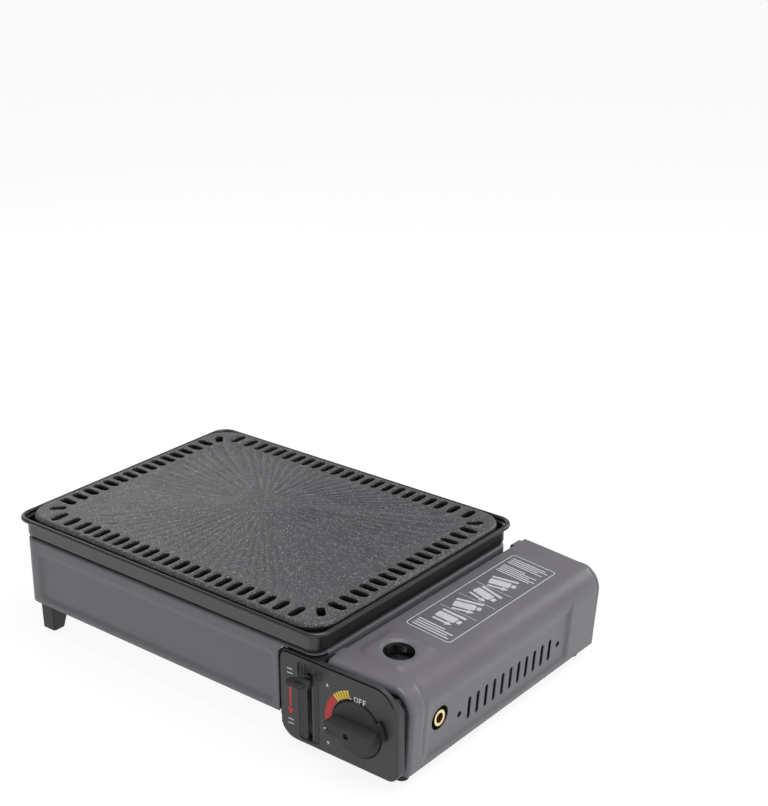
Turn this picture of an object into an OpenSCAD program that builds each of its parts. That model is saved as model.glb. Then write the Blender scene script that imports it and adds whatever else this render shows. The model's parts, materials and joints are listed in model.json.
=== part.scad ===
// Portable butane grill: a gas stove with a cartridge bay on the right
// and a slotted grill plate in a grease tray on top.
// Millimetres, +Z up, front of the stove towards -Y.
// The origin is the middle of the footprint, on the table.

/* [Burner box] */
// Width of the burner box, left wall to bay wall
box_w = 364; // [352:1:376]
// Depth of the burner box, front wall to back wall
box_d = 271; // [263:1:279]
// Height of the deck above the table
deck_z = 97; // [96:0.5:100]
// Height of the bottom edge of the box walls
skirt_z = 31; // [29:0.5:33]
// Corner radius of the burner box
box_r = 12; // [10:1:16]
// Thickness of the pressed steel sheet
sheet = 1; // [0.8:0.1:1.2]
// Depth of the field pressed into the front wall
emboss = 2; // [1:0.5:3]

/* [Cartridge bay and lid] */
// Width of the bay, bay wall to the lid's bottom edge
bay_w = 82; // [80:1:88]
// Length of the lid, front to back
lid_len = 280; // [272:1:292]
// Height of the lid's top over its hinge
lid_z = 95; // [94:0.5:96]
// Slope of the lid's top, down towards its side
lid_tilt = 5; // [3:0.5:6]
// Height of the lid's bottom edge
hem_z = 10; // [9:0.5:11]
// Radius of the lid's rounded shoulder
shoulder_r = 22; // [18:1:26]
// Thickness of the lid's sheet
lid_t = 0.8; // [0.7:0.1:0.9]
// Diameter of the round hole over the regulator
lid_hole_d = 27; // [24:1:30]
// Diameter of the hole for the gas hose
hose_hole_d = 20.5; // [19:0.5:22]
// Number of air slots in the lid's side
vent_n = 11; // [7:1:12]
// Height of an air slot
vent_h = 20; // [16:1:24]
// Diameter of a lid hinge pin
hinge_pin_d = 2.5; // [2:0.1:2.6]

/* [Control panel] */
// Width of the black control panel
panel_w = 125; // [122:1:128]
// Depth of the control panel
panel_d = 14; // [13:0.5:14.4]
// Height of the top of the control panel
panel_top = 95; // [94:0.5:95.5]
// Radius of the panel's outer corners, next to the lid
panel_r = 22; // [18:1:26]
// Radius of the panel's upper corner, next to the burner box
panel_r_in = 11; // [9:1:14]
// Distance from the panel's face back to the lid
panel_step = 15; // [15:0.5:16]
// Diameter of the knob
knob_d = 49; // [46:1:52]
// How far the knob's grip stands out of the panel
knob_out = 13.5; // [11:0.5:16]
// Diameter of the valve spindle
spindle_d = 6; // [5:0.2:7]
// Tilt of the lock lever at rest, up from level
lever_up = 27; // [24:1:28]
// How far the lever's thumb tab stands out of the panel
lever_out = 15.5; // [14:0.5:18]
// Diameter of the lever's pivot
pivot_d = 5; // [4:0.2:5.4]

/* [Tray and plate] */
// How far the tray's rim stands out past the burner box
rim_over = 5.5; // [5:0.5:7]
// Corner radius of the tray's wall
tray_r = 11; // [10:1:18]
// Diameter of the tray's rolled rim
rim_d = 4.5; // [4:0.5:5]
// How far the rim's top lies below the plate's top
rim_drop = 2.5; // [1.5:0.5:3]
// Height of the top of the grill plate's edge
plate_z = 121; // [119:0.5:125]
// How far the middle of the plate stands above its edge
plate_rise = 12; // [6:1:14]
// Thickness of the grill plate
plate_t = 6; // [5:0.5:7]
// Gap between the plate's edge and the rolled rim
plate_gap = 1.5; // [1.5:0.5:3]
// Number of slots along a long side
long_slots = 23; // [17:2:23]
// Number of slots along a short side
short_slots = 15; // [11:2:15]
// Length of a slot
slot_len = 19; // [15:1:20]
// Width of a slot
slot_w = 7.4; // [5:0.2:8]

/* [Gas and flame] */
// Distance of the cartridge's axis from the lid's bottom edge
axis_in = 41.5; // [40:0.5:43]
// Height of the cartridge's axis
axis_z = 46; // [45:0.5:47]
// Diameter of the regulator
reg_d = 44; // [40:1:46]
// Diameter of the mixing tube
tube_d = 16; // [14:1:17]
// Diameter of the burner
burner_d = 88; // [80:1:96]
// Outer diameter of the brass hose inlet
inlet_d = 14; // [12:0.5:15]
// Bore of the socket that takes the cartridge's valve
socket_bore = 8.4; // [7:0.2:9]

/* [Fits] */
// Radial clearance of a shaft that turns in a hole
run_fit = 0.05; // [0.03:0.01:0.1]
// Gap between pieces that move past each other
gap = 0.4; // [0.3:0.1:0.6]

/* [Hidden] */
$fn = 64;
eps = 1;

// Section of the lid: a sloping top, a round shoulder, a side square to the top
knuckle_r = 3.8;
hinge_in = knuckle_r + 0.6;
lid_across = bay_w - hinge_in - knuckle_r * sin(lid_tilt);
lid_down = lid_z - hem_z - knuckle_r * (1 - cos(lid_tilt));
lid_u = lid_across * cos(lid_tilt) + lid_down * sin(lid_tilt);
lid_v = lid_down * cos(lid_tilt) - lid_across * sin(lid_tilt);
lid_lean = shoulder_r * (1 - cos(lid_tilt)) + (lid_v - shoulder_r) * sin(lid_tilt);
lid_end = 4;
lid_lap = 1.2;

// Places across the stove, where x_right is the lid's bottom edge
overall_w = rim_over + box_w + bay_w + lid_lean;
x_right = overall_w / 2 - lid_lean;
box_x0 = -overall_w / 2 + rim_over;
box_x1 = box_x0 + box_w;
box_cx = (box_x0 + box_x1) / 2;
panel_x0 = x_right - panel_w;
axis_x = x_right - axis_in;

// Places from front to back
front_out = max(knob_out, lever_out);
overall_d = front_out + panel_step + lid_len;
panel_y = -overall_d / 2 + front_out;
panel_back = panel_y + panel_d;
lid_y0 = panel_y + panel_step;
lid_y1 = lid_y0 + lid_len;
box_y0 = panel_y + 1;
box_y1 = box_y0 + box_d;
box_cy = (box_y0 + box_y1) / 2;
bulk_y = lid_y0 + 2;
rear_y = lid_y1 - 9.5;
reg_y = lid_y0 + 41;

// Heights
base_z = skirt_z + 1;
floor_z = hem_z - 2;
tray_z = deck_z + 1.2;
bowl_z = axis_z + tube_d / 2 + 2;
inner_z = axis_z + 33;

// Heat shield
shield_gap = 6;
shield_end = 8;
shield_t = 0.8;

// Control panel
panel_bottom = hem_z;
panel_h = panel_top - panel_bottom;
panel_wall = 2.4;
panel_face = 2.8;
panel_recess = 1;
knob_well = 4;
knob_back = panel_y + knob_well - gap;
knob_front = panel_y - 1;
knob_bar = 12.5;
spindle_r = spindle_d / 2;
spindle_y0 = panel_y - knob_out + 4;
spindle_y1 = reg_y - reg_d / 2 - 2;
cam_y = panel_y + knob_well + 4.7;
cam_t = 5;
cam_r = 9;
cam_lobe = 14;
screw_r = 1.4;
boss_r = 3.6;
boss_x = [box_x1 + 6, x_right - 9];
boss_z = [panel_bottom + 11, panel_top - 18];

// Lid hinge
pin_r = hinge_pin_d / 2;
pin_land = 1.8;
hinge_x = box_x1 + hinge_in;
hinge_z = lid_z - knuckle_r;
lid_x = hinge_x + knuckle_r * sin(lid_tilt);
lid_top = hinge_z + knuckle_r * cos(lid_tilt);
hole_u = (axis_x - lid_x) / cos(lid_tilt);
end_in = lid_t + 1.2;
knuckle_l = 12;
knuckle_y = [bulk_y + sheet + 0.5, rear_y - 0.5 - knuckle_l];

// Lock lever and cartridge yoke
lever_in = 10.6;
lever_x = box_x1 - lever_in;
lever_t = 3.6;
lever_w = 10;
pivot_in = 50.5;
tab_root = 7;
tab_neck = 8;
lever_arm = (pivot_in + tab_root) / cos(lever_up);
pivot_r = pivot_d / 2;
pivot_y = panel_y + pivot_in;
pivot_z = axis_z;
crank_r = 9;
crank_pin_r = 2;
yoke_travel = 2 * crank_r * sin(lever_up);
crank_y = pivot_y + crank_r * sin(lever_up);
yoke_x = lever_x + lever_t / 2 + 2;
yoke_t = 2;
yoke_w = 16;
fork_y = reg_y + reg_d / 2 + 12;
fork_r = 19;
fork_top = axis_z + 29;
arm_y0 = fork_y - 12;
arm_z0 = axis_z + 18;
tab_z = pivot_z + (pivot_in + tab_root) * tan(lever_up) - 1;
slot_z0 = pivot_z - pivot_in * tan(lever_up) - 6.3;
slot_z1 = pivot_z + pivot_in * tan(lever_up) + 6.3;

// Gas line: straight from the regulator to the burner
gas_run = norm([axis_x - box_cx, reg_y - box_cy]);
gas_turn = atan2(box_cy - reg_y, box_cx - axis_x);
reg_r = reg_d / 2;
reg_z0 = axis_z - 15;
reg_z1 = axis_z + 20;
cap_z1 = reg_z1 + 14;
turret_z1 = lid_top - (axis_x - lid_x) * tan(lid_tilt) - 7;
valve_r = 12;
valve_flange = 17;
inlet_x1 = x_right + (axis_z - inlet_d / 2 - hem_z) * tan(lid_tilt) - end_in;
socket_r = 13;
socket_y1 = reg_y + reg_r + 14;
socket_deep = 10;
seal_r = socket_bore / 2 + 0.6;
seal_t = 2;
seal_y = socket_y1 - socket_deep - 0.5;
tube_r = tube_d / 2;
nozzle_r = 5;
tube_start = reg_r + 20;
burner_r = burner_d / 2;
cup_z = bowl_z + 6;
cap_z = cup_z + 16;
bowl_r = 90;
spark_x = box_cx + 38;
spark_y = box_cy - 38;
spark_r = 3.5;
wire_r = 1.25;
wire_z = axis_z - 4;
wire_x = box_x1 + 8;
wire_y = lid_y0 + 21.5;
wire_top = axis_z + 36;

// Legs and feet
leg_w = 17.5;
leg_top = 24;
leg_low = 13;
leg_x = box_x0 + 6.7 + leg_w / 2;
leg_y = [box_y0 + 7.5 + leg_top / 2, box_y1 - 7.5 - leg_top / 2];
nub_r = 7.5;
nub_x = x_right - 14;
nub_y = [bulk_y + 7.5, rear_y - 7.5];

// Grill plate
plate_w = box_w + 2 * (rim_over - rim_d - plate_gap);
plate_d = box_d + 2 * (rim_over - rim_d - plate_gap);
plate_r = tray_r + 16;
slot_in = 5.5;
slot_cx = plate_w / 2 - slot_in - slot_len / 2;
slot_cy = plate_d / 2 - slot_in - slot_len / 2;
long_end = slot_cx - 20;
short_end = slot_cy - 28;
corner_slot = slot_len - 3;
dome_x = slot_cx - slot_len / 2 - 3;
dome_y = slot_cy - slot_len / 2 - 3;
plate_foot_r = 6;
plate_foot_in = 24;

// Rounded rectangle about the origin
module rounded(w, d, r) {
    square([w - 2 * r, d], center = true);
    square([w, d - 2 * r], center = true);
    for (sx = [-1, 1], sy = [-1, 1])
        translate([sx * (w / 2 - r), sy * (d / 2 - r)])
            circle(r);
}

// Flat rounded slab between two heights
module slab(w, d, r, z0, z1) {
    translate([0, 0, z0])
        linear_extrude(z1 - z0)
            rounded(w, d, r);
}

// Block from one corner to the opposite one
module block(a, b) {
    translate(a)
        cube(b - a);
}

// Drawing in X and Z carried from y0 to y1
module upright(y0, y1) {
    translate([0, y1, 0])
        rotate([90, 0, 0])
            linear_extrude(y1 - y0)
                children();
}

// Drawing in Y and Z carried from x0 to x1
module sideways(x0, x1) {
    translate([x0, 0, 0])
        rotate([90, 0, 90])
            linear_extrude(x1 - x0)
                children();
}

// Round bar along Y
module bar_y(x, z, y0, y1, r) {
    translate([x, y0, z])
        rotate([-90, 0, 0])
            cylinder(h = y1 - y0, r = r);
}

// Round bar along X
module bar_x(y, z, x0, x1, r) {
    translate([x0, y, z])
        rotate([0, 90, 0])
            cylinder(h = x1 - x0, r = r);
}

// Round bar on the gas line, distances from the regulator's axis
module bar_gas(d0, d1, r0, r1) {
    translate([axis_x, reg_y, axis_z])
        rotate([0, 0, gas_turn])
            translate([d0, 0, 0])
                rotate([0, 90, 0])
                    cylinder(h = d1 - d0, r1 = r0, r2 = r1);
}

// Profile of (outward, up) carried round a rounded rectangle
module around(w, d, r) {
    for (turn = [0, 180]) {
        rotate([0, 0, turn])
            translate([w / 2, d / 2 - r, 0])
                rotate([90, 0, 0])
                    linear_extrude(d - 2 * r)
                        children();
        rotate([0, 0, turn + 90])
            translate([d / 2, w / 2 - r, 0])
                rotate([90, 0, 0])
                    linear_extrude(w - 2 * r)
                        children();
    }
    for (sx = [-1, 1], sy = [-1, 1])
        translate([sx * (w / 2 - r), sy * (d / 2 - r), 0])
            rotate([0, 0, sx * sy > 0 ? (sx > 0 ? 0 : 180) : (sx > 0 ? 270 : 90)])
                rotate_extrude(angle = 90)
                    translate([r, 0])
                        children();
}

// Room for the control panel in the burner box
module panel_pocket() {
    block([panel_x0 - gap, box_y0 - 2, 0], [box_x1 + eps, panel_back + gap, deck_z - sheet]);
}

// Passages through the wall between the burner box and the bay
module wall_passages() {
    bar_gas(30, 60, tube_r + 4, tube_r + 4);
    block([box_x1 - 3, arm_y0 - yoke_travel - 1, arm_z0 - 1], [box_x1 + 3, fork_y + 1, fork_top + 1]);
    bar_x(pivot_y, pivot_z, box_x1 - 3, box_x1 + 3, pivot_r);
    bar_x(wire_y, wire_top, box_x1 - 3, box_x1 + 3, wire_r + 0.8);
}

// Outline of the field pressed into the front wall, grown by an amount
module front_field(grow) {
    x0 = box_x0 + 18;
    x1 = panel_x0 - 4;
    z0 = skirt_z + 4.5;
    z1 = deck_z - 12;
    translate([(x0 + x1) / 2, (z0 + z1) / 2])
        rounded(x1 - x0 + 2 * grow, z1 - z0 + 2 * grow, 7 + grow);
}

module body_shell() {
    color("dimgray")
        difference() {
            union() {
                difference() {
                    translate([box_cx, box_cy, 0])
                        slab(box_w, box_d, box_r, skirt_z, deck_z);
                    translate([box_cx, box_cy, 0])
                        slab(box_w - 2 * sheet, box_d - 2 * sheet, box_r - sheet,
                             skirt_z - eps, deck_z - sheet);
                }
                upright(box_y0 + sheet / 2, box_y0 + sheet + emboss)
                    front_field(sheet);
            }
            upright(box_y0 - eps, box_y0 + emboss)
                front_field(0);
            translate([box_cx, box_cy, deck_z - sheet - eps])
                cylinder(h = sheet + 2 * eps, r = bowl_r);
            panel_pocket();
            wall_passages();
        }
}

module base_plate() {
    color("silver")
        difference() {
            translate([box_cx, box_cy, 0])
                slab(box_w - 2 * sheet, box_d - 2 * sheet, box_r - sheet, base_z, base_z + sheet);
            panel_pocket();
            block([lever_x - 8, box_y0, base_z - eps], [box_x1, pivot_y + 12, base_z + 2 * eps]);
            for (side = [-1, 1], k = [-2 : 2])
                translate([box_cx + k * 34, box_cy + side * 78, base_z - eps])
                    linear_extrude(sheet + 2 * eps)
                        rounded(8, 56, 3.5);
            for (y = leg_y)
                translate([leg_x, y, base_z - eps])
                    cylinder(h = sheet + 2 * eps, r = 2);
        }
}

// Room under the lid, drawn in by an amount and seen from the front
module lid_room(inset) {
    translate([lid_x, lid_top])
        rotate(-lid_tilt) {
            translate([-bay_w, -2 * lid_v])
                square([bay_w + lid_u - shoulder_r, 2 * lid_v - inset]);
            translate([-bay_w, -2 * lid_v])
                square([bay_w + lid_u - inset, 2 * lid_v - shoulder_r]);
            translate([lid_u - shoulder_r, -shoulder_r])
                circle(shoulder_r - inset);
        }
}

// End wall of the bay, seen from the front
module bay_end() {
    intersection() {
        translate([box_x1, floor_z])
            square([bay_w + lid_lean, lid_z]);
        lid_room(end_in);
    }
}

// Sheet at one end of the bay, with the hole and the slot for its hinge pin
module bay_wall(y) {
    difference() {
        upright(y, y + sheet)
            bay_end();
        block([box_x1 - eps, y - eps, hinge_z - 7], [hinge_x - pin_land, y + sheet + eps, lid_z]);
        block([box_x1 - eps, y - eps, hinge_z + pin_land], [hinge_x + 2 * knuckle_r, y + sheet + eps, lid_z]);
        bar_y(hinge_x, hinge_z, y - eps, y + sheet + eps, pin_r);
    }
}

module bay_shell() {
    color("gray")
        difference() {
            union() {
                block([box_x1, bulk_y + sheet, floor_z], [x_right - end_in, rear_y, floor_z + sheet]);
                block([box_x1, bulk_y + sheet, floor_z], [box_x1 + sheet, rear_y, inner_z]);
            }
            wall_passages();
        }
}

module bay_front() {
    color("gray")
        difference() {
            bay_wall(bulk_y);
            bar_y(axis_x, axis_z, bulk_y - eps, bulk_y + sheet + eps, spindle_r + 2);
            bar_y(wire_x, axis_z, bulk_y - eps, bulk_y + sheet + eps, wire_r + 0.8);
            for (x = boss_x, z = boss_z)
                bar_y(x, z, bulk_y - eps, bulk_y + sheet + eps, screw_r);
        }
}

module bay_rear() {
    color("gray")
        bay_wall(rear_y);
}

module heat_shield() {
    x = box_x1 - sheet - shield_gap;
    color("lightgray") {
        block([x, fork_y + shield_end, base_z + sheet],
              [x + shield_t, box_y1 - sheet - shield_end, deck_z - shield_gap]);
        for (y = [fork_y + 1.5 * shield_end, box_y1 - sheet - 2.5 * shield_end])
            block([x + shield_t, y, base_z + shield_end],
                  [box_x1 - sheet, y + shield_end, base_z + shield_end + shield_gap]);
    }
}

// Tapered plastic leg under a left corner of the burner box
module leg(y, lean) {
    difference() {
        hull() {
            translate([leg_x, y, base_z - 3])
                linear_extrude(3)
                    rounded(leg_w, leg_top, 2, $fn = 32);
            translate([leg_x, y + lean, 0])
                linear_extrude(1)
                    rounded(leg_w - 1, leg_low, 2, $fn = 32);
        }
        translate([leg_x, y, base_z - 16])
            cylinder(h = 20, r = 2);
    }
}

module front_left_leg() {
    color("black")
        leg(leg_y[0], (leg_low - leg_top) / 2 + 0.5);
}

module rear_left_leg() {
    color("black")
        leg(leg_y[1], (leg_top - leg_low) / 2 - 0.5);
}

// Short rubber foot under the bay
module nub(y) {
    translate([nub_x, y, 0])
        cylinder(h = floor_z, r1 = nub_r - 1.5, r2 = nub_r);
}

module front_right_foot() {
    color("black")
        nub(nub_y[0]);
}

module rear_right_foot() {
    color("black")
        nub(nub_y[1]);
}

module leg_screws() {
    color("silver")
        for (y = leg_y) {
            translate([leg_x, y, base_z - 14])
                cylinder(h = 14 + sheet, r = 2);
            translate([leg_x, y, base_z + sheet])
                cylinder(h = 2, r = 4);
        }
}

module control_panel() {
    color("black")
        difference() {
            union() {
                difference() {
                    upright(panel_y, panel_back)
                        panel_outline(0);
                    upright(panel_y + panel_face, panel_back + eps)
                        panel_outline(panel_wall);
                    upright(panel_y - eps, panel_y + panel_recess)
                        panel_outline(4);
                }
                block([box_x1 - 1.6, panel_y + 0.3, panel_bottom + 3],
                      [box_x1, panel_y + panel_face, panel_top - 3]);
                for (x = boss_x, z = boss_z)
                    bar_y(x, z, panel_y + panel_face - 0.5, bulk_y, boss_r);
                bar_y(axis_x, axis_z, panel_y + panel_recess, panel_y + knob_well + 1.8, knob_d / 2 + 3);
                block([axis_x + knob_d / 2 + 1.5, panel_y - 1.5, axis_z + 2],
                      [axis_x + knob_d / 2 + 9, panel_y + panel_face, axis_z + 16]);
            }
            bar_y(axis_x, axis_z, panel_y - 2 * eps, panel_y + knob_well, knob_d / 2 + 0.8);
            bar_y(axis_x, axis_z, panel_y - eps, panel_back, spindle_r + 2);
            block([lever_x - lever_t / 2 - 0.7, panel_y - eps, slot_z0],
                  [lever_x + lever_t / 2 + 0.7, panel_y + panel_face + eps, slot_z1]);
            for (x = boss_x, z = boss_z)
                bar_y(x, z, panel_y + panel_face + 2, bulk_y + eps, screw_r);
        }
}

// Outline of the control panel, drawn in by an amount
module panel_outline(inset) {
    x0 = panel_x0 + inset;
    x1 = x_right - inset;
    z0 = panel_bottom + inset;
    z1 = panel_top - inset;
    a = panel_r_in - inset;
    b = panel_r - inset;
    c = b - 4;
    polygon([
        [x0 + a, z1], [x1 - b, z1], [x1, z1 - b], [x1, z0 + b],
        [x1 - b, z0], [x0 + c, z0], [x0, z0 + c], [x0, z1 - a]
    ]);
    translate([x0 + a, z1 - a])
        circle(a);
    translate([x1 - b, z1 - b])
        circle(b);
    translate([x1 - b, z0 + b])
        circle(b);
    translate([x0 + c, z0 + c])
        circle(c);
}

module panel_screws() {
    color("silver")
        for (x = boss_x, z = boss_z) {
            bar_y(x, z, bulk_y - 8, bulk_y + sheet, screw_r);
            bar_y(x, z, bulk_y + sheet, bulk_y + sheet + 2, 3);
        }
}

module control_knob() {
    color("black")
        difference() {
            union() {
                bar_y(axis_x, axis_z, knob_front, knob_back, knob_d / 2);
                upright(panel_y - knob_out, knob_front + 0.5)
                    translate([axis_x, axis_z])
                        rounded(knob_d - 2.5, knob_bar, 3);
            }
            valve_spindle();
            bar_y(axis_x, axis_z, panel_y - knob_out - eps, panel_y - knob_out + 2.5, 2.6);
        }
}

module valve_spindle() {
    color("goldenrod")
        difference() {
            bar_y(axis_x, axis_z, spindle_y0, spindle_y1, spindle_r);
            translate([axis_x, spindle_y0 - eps, axis_z])
                translate([-spindle_d, 0, spindle_r - 1])
                    cube([2 * spindle_d, knob_back - spindle_y0, spindle_r]);
        }
}

module igniter_cam() {
    color("ivory")
        difference() {
            union() {
                bar_y(axis_x, axis_z, cam_y, cam_y + cam_t, cam_r);
                upright(cam_y, cam_y + cam_t)
                    translate([axis_x, axis_z])
                        rotate(80)
                            translate([cam_r - 4, 0])
                                circle(cam_lobe - cam_r + 4);
            }
            bar_y(axis_x, axis_z, cam_y - eps, cam_y + cam_t + eps, spindle_r);
        }
}

// Steel bar of the lock lever, with a narrow end for the thumb tab
module lever_bar() {
    sideways(lever_x - lever_t / 2, lever_x + lever_t / 2)
        translate([pivot_y, pivot_z])
            rotate(-lever_up) {
                translate([tab_neck - lever_arm, -lever_w / 2])
                    square([lever_arm - tab_neck, lever_w]);
                translate([-lever_arm, -lever_w / 4])
                    square([lever_arm, lever_w / 2]);
            }
}

module lock_lever() {
    color("silver")
        difference() {
            union() {
                lever_bar();
                sideways(lever_x - lever_t / 2, lever_x + lever_t / 2)
                    translate([pivot_y, pivot_z])
                        rotate(-lever_up) {
                            circle(pivot_r + 5);
                            translate([0, crank_r])
                                circle(crank_pin_r + 3);
                            translate([-3.5, 0])
                                square([7, crank_r]);
                        }
                bar_x(crank_y, pivot_z + crank_r * cos(lever_up),
                      lever_x, yoke_x + yoke_t + 1.5, crank_pin_r);
            }
            bar_x(pivot_y, pivot_z, lever_x - 5, lever_x + 5, pivot_r + run_fit);
        }
}

module lever_tab() {
    color("black")
        difference() {
            union() {
                translate([lever_x - 4.5, panel_y - (lever_out + 3) / 2, tab_z - 3.2])
                    linear_extrude(3.2)
                        rounded(19, lever_out - 3, 5);
                block([lever_x - 6, panel_y - 9.5, tab_z - 4], [lever_x + 8.5, panel_y - 4, tab_z + 3]);
            }
            lever_bar();
        }
}

module lever_pivot() {
    color("silver") {
        bar_x(pivot_y, pivot_z, lever_x - lever_t / 2 - gap, box_x1 + sheet, pivot_r);
        bar_x(pivot_y, pivot_z,
              lever_x - lever_t / 2 - gap - 2, lever_x - lever_t / 2 - gap, pivot_r + 1.5);
    }
}

module cartridge_yoke() {
    slot_half = crank_pin_r + gap;
    color("silver")
        difference() {
            union() {
                sideways(yoke_x, yoke_x + yoke_t) {
                    translate([crank_y - yoke_w / 2, pivot_z + 4])
                        square([yoke_w, fork_top - pivot_z - 4]);
                    translate([crank_y - yoke_w / 2, arm_z0])
                        square([fork_y - crank_y + yoke_w / 2, fork_top - arm_z0]);
                }
                block([yoke_x, arm_y0, arm_z0], [axis_x - fork_r - 10, fork_y, fork_top]);
                upright(fork_y - 2, fork_y)
                    translate([axis_x - fork_r - 12, axis_z - fork_r - 5])
                        square([2 * fork_r + 24, fork_top - axis_z + fork_r + 5]);
            }
            bar_y(axis_x, axis_z, fork_y - 3, fork_y + eps, fork_r);
            block([axis_x - fork_r, fork_y - 3, axis_z], [axis_x + fork_r, fork_y + eps, fork_top + eps]);
            block([yoke_x - eps, crank_y - slot_half, pivot_z + crank_r * cos(lever_up) - slot_half],
                  [yoke_x + yoke_t + eps, crank_y + slot_half, pivot_z + crank_r + slot_half]);
            bar_x(pivot_y, pivot_z, yoke_x - eps, yoke_x + yoke_t + eps, pivot_r + 1);
        }
}

module yoke_guide() {
    x0 = yoke_x - 1.5;
    x1 = box_x1 - sheet;
    color("gray") {
        block([x0, arm_y0 - 14, fork_top + gap], [x1, arm_y0 - yoke_travel + 8, fork_top + gap + 2.5]);
        block([x0, arm_y0 - 14, arm_z0 - gap - 2.5], [x1, arm_y0 - yoke_travel + 8, arm_z0 - gap]);
    }
}

// Round body of the regulator, used to cut the pieces that screw onto it
module reg_round() {
    translate([axis_x, reg_y, reg_z0])
        cylinder(h = reg_z1 - reg_z0, r = reg_r);
}

module regulator_body() {
    color("silver")
        difference() {
            union() {
                reg_round();
                translate([axis_x, reg_y, floor_z + sheet])
                    cylinder(h = reg_z0 - floor_z - sheet, r = 9);
                bar_gas(reg_r - 4, reg_r + 9, nozzle_r + 3.5, nozzle_r + 3.5);
            }
            bar_gas(reg_r + 1, tube_start, nozzle_r, nozzle_r);
        }
}

module regulator_cap() {
    color("black") {
        translate([axis_x, reg_y, reg_z1])
            cylinder(h = cap_z1 - reg_z1, r = reg_r - 1);
        translate([axis_x, reg_y, cap_z1])
            cylinder(h = turret_z1 - 2 - cap_z1, r = 11);
        for (turn = [45, 135])
            translate([axis_x, reg_y, turret_z1 - 2.5])
                rotate([0, 0, turn])
                    translate([-9, -1.5, 0])
                        cube([18, 3, 2.5]);
    }
}

module cartridge_socket() {
    color("silver")
        difference() {
            union() {
                bar_y(axis_x, axis_z, reg_y + reg_r - 8, socket_y1, socket_r);
                block([axis_x - 2.5, reg_y + reg_r - 1, axis_z + socket_r - 2],
                      [axis_x + 2.5, socket_y1, axis_z + socket_r + 3]);
            }
            reg_round();
            bar_y(axis_x, axis_z, socket_y1 - socket_deep - eps, socket_y1 + eps, socket_bore / 2);
            bar_y(axis_x, axis_z, seal_y - seal_t, socket_y1 - socket_deep, seal_r);
        }
}

module socket_seal() {
    color("black")
        difference() {
            bar_y(axis_x, axis_z, seal_y - seal_t, seal_y, seal_r);
            bar_y(axis_x, axis_z, seal_y - seal_t - eps, seal_y + eps, seal_r - seal_t);
        }
}

module gas_valve_body() {
    color("silver")
        difference() {
            union() {
                bar_y(axis_x, axis_z, bulk_y + sheet, reg_y - reg_r + 5, valve_r);
                bar_y(axis_x, axis_z, bulk_y + sheet, bulk_y + sheet + 2, valve_flange);
            }
            reg_round();
            bar_y(axis_x, axis_z, bulk_y, spindle_y1 + 1, spindle_r + run_fit);
        }
}

module hose_inlet() {
    color("goldenrod")
        difference() {
            bar_x(reg_y, axis_z, axis_x + reg_r - 8, inlet_x1, inlet_d / 2);
            reg_round();
            bar_x(reg_y, axis_z, axis_x + reg_r + 3, inlet_x1 + eps, inlet_d / 2 - 2.5);
        }
}

module injector_nozzle() {
    color("goldenrod")
        difference() {
            union() {
                bar_gas(reg_r + 1, reg_r + 12, nozzle_r, nozzle_r);
                bar_gas(reg_r + 12, reg_r + 16, nozzle_r, nozzle_r - 2);
            }
            bar_gas(reg_r, reg_r + 17, 0.5, 0.5);
        }
}

module mixing_tube() {
    color("lightgray")
        difference() {
            union() {
                bar_gas(tube_start, tube_start + 10, tube_r + 2, tube_r);
                bar_gas(tube_start + 10, gas_run - 11, tube_r, tube_r);
            }
            bar_gas(tube_start - 0.01, tube_start + 10, tube_r + 0.8, tube_r - 1.2);
            bar_gas(tube_start + 9, gas_run, tube_r - 1.2, tube_r - 1.2);
        }
}

module burner_head() {
    color("darkgray")
        translate([box_cx, box_cy, 0])
            difference() {
                union() {
                    translate([0, 0, base_z + sheet + 1.2])
                        cylinder(h = cup_z - base_z - sheet, r = tube_r + 7);
                    translate([0, 0, cup_z])
                        cylinder(h = cap_z - cup_z, r = burner_r - 2);
                }
                translate([0, 0, axis_z])
                    cylinder(h = cap_z, r = tube_r - 3);
                translate([0, 0, cup_z + 3])
                    cylinder(h = cap_z, r = burner_r - 5);
                translate([-box_cx, -box_cy, 0])
                    bar_gas(gas_run - 30, gas_run + 6, tube_r, tube_r);
            }
}

module burner_cap() {
    color("dimgray")
        translate([box_cx, box_cy, cap_z])
            difference() {
                union() {
                    cylinder(h = 6, r = burner_r);
                    translate([0, 0, 6])
                        cylinder(h = 3, r1 = burner_r, r2 = burner_r - 6);
                }
                translate([0, 0, -eps])
                    cylinder(h = eps + 5, r = burner_r - 5);
                for (k = [0 : 29])
                    rotate([0, 0, k * 12])
                        translate([burner_r - 8, -0.9, 1.5])
                            cube([12, 1.8, 3]);
            }
}

module burner_bracket() {
    color("silver")
        translate([box_cx, box_cy, 0])
            slab(70, 34, 6, base_z + sheet, base_z + sheet + 1.2);
}

module reflector() {
    color("gainsboro")
        difference() {
            translate([box_cx, box_cy, 0])
                rotate_extrude()
                    polygon([
                        [tube_r + 9, bowl_z], [62, bowl_z], [bowl_r - 2, deck_z],
                        [bowl_r + 6, deck_z], [bowl_r + 6, deck_z + 0.8],
                        [bowl_r - 2.6, deck_z + 0.8], [61.5, bowl_z + 0.8], [tube_r + 9, bowl_z + 0.8]
                    ]);
            translate([spark_x, spark_y, bowl_z - eps])
                cylinder(h = 4, r = spark_r);
        }
}

module piezo_igniter() {
    x0 = box_x1 + 4;
    x1 = axis_x - cam_lobe - 5;
    y = cam_y + cam_t / 2;
    color("red") {
        bar_x(y, axis_z, x0, x1, 5);
        bar_x(y, axis_z, x1, axis_x - cam_lobe - 0.6, 2.2);
        block([x1 - 10, y, axis_z - 3], [x1 - 4, bulk_y, axis_z + 3]);
    }
}

// Unit vector
function unit(v) = v / norm(v);

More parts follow.
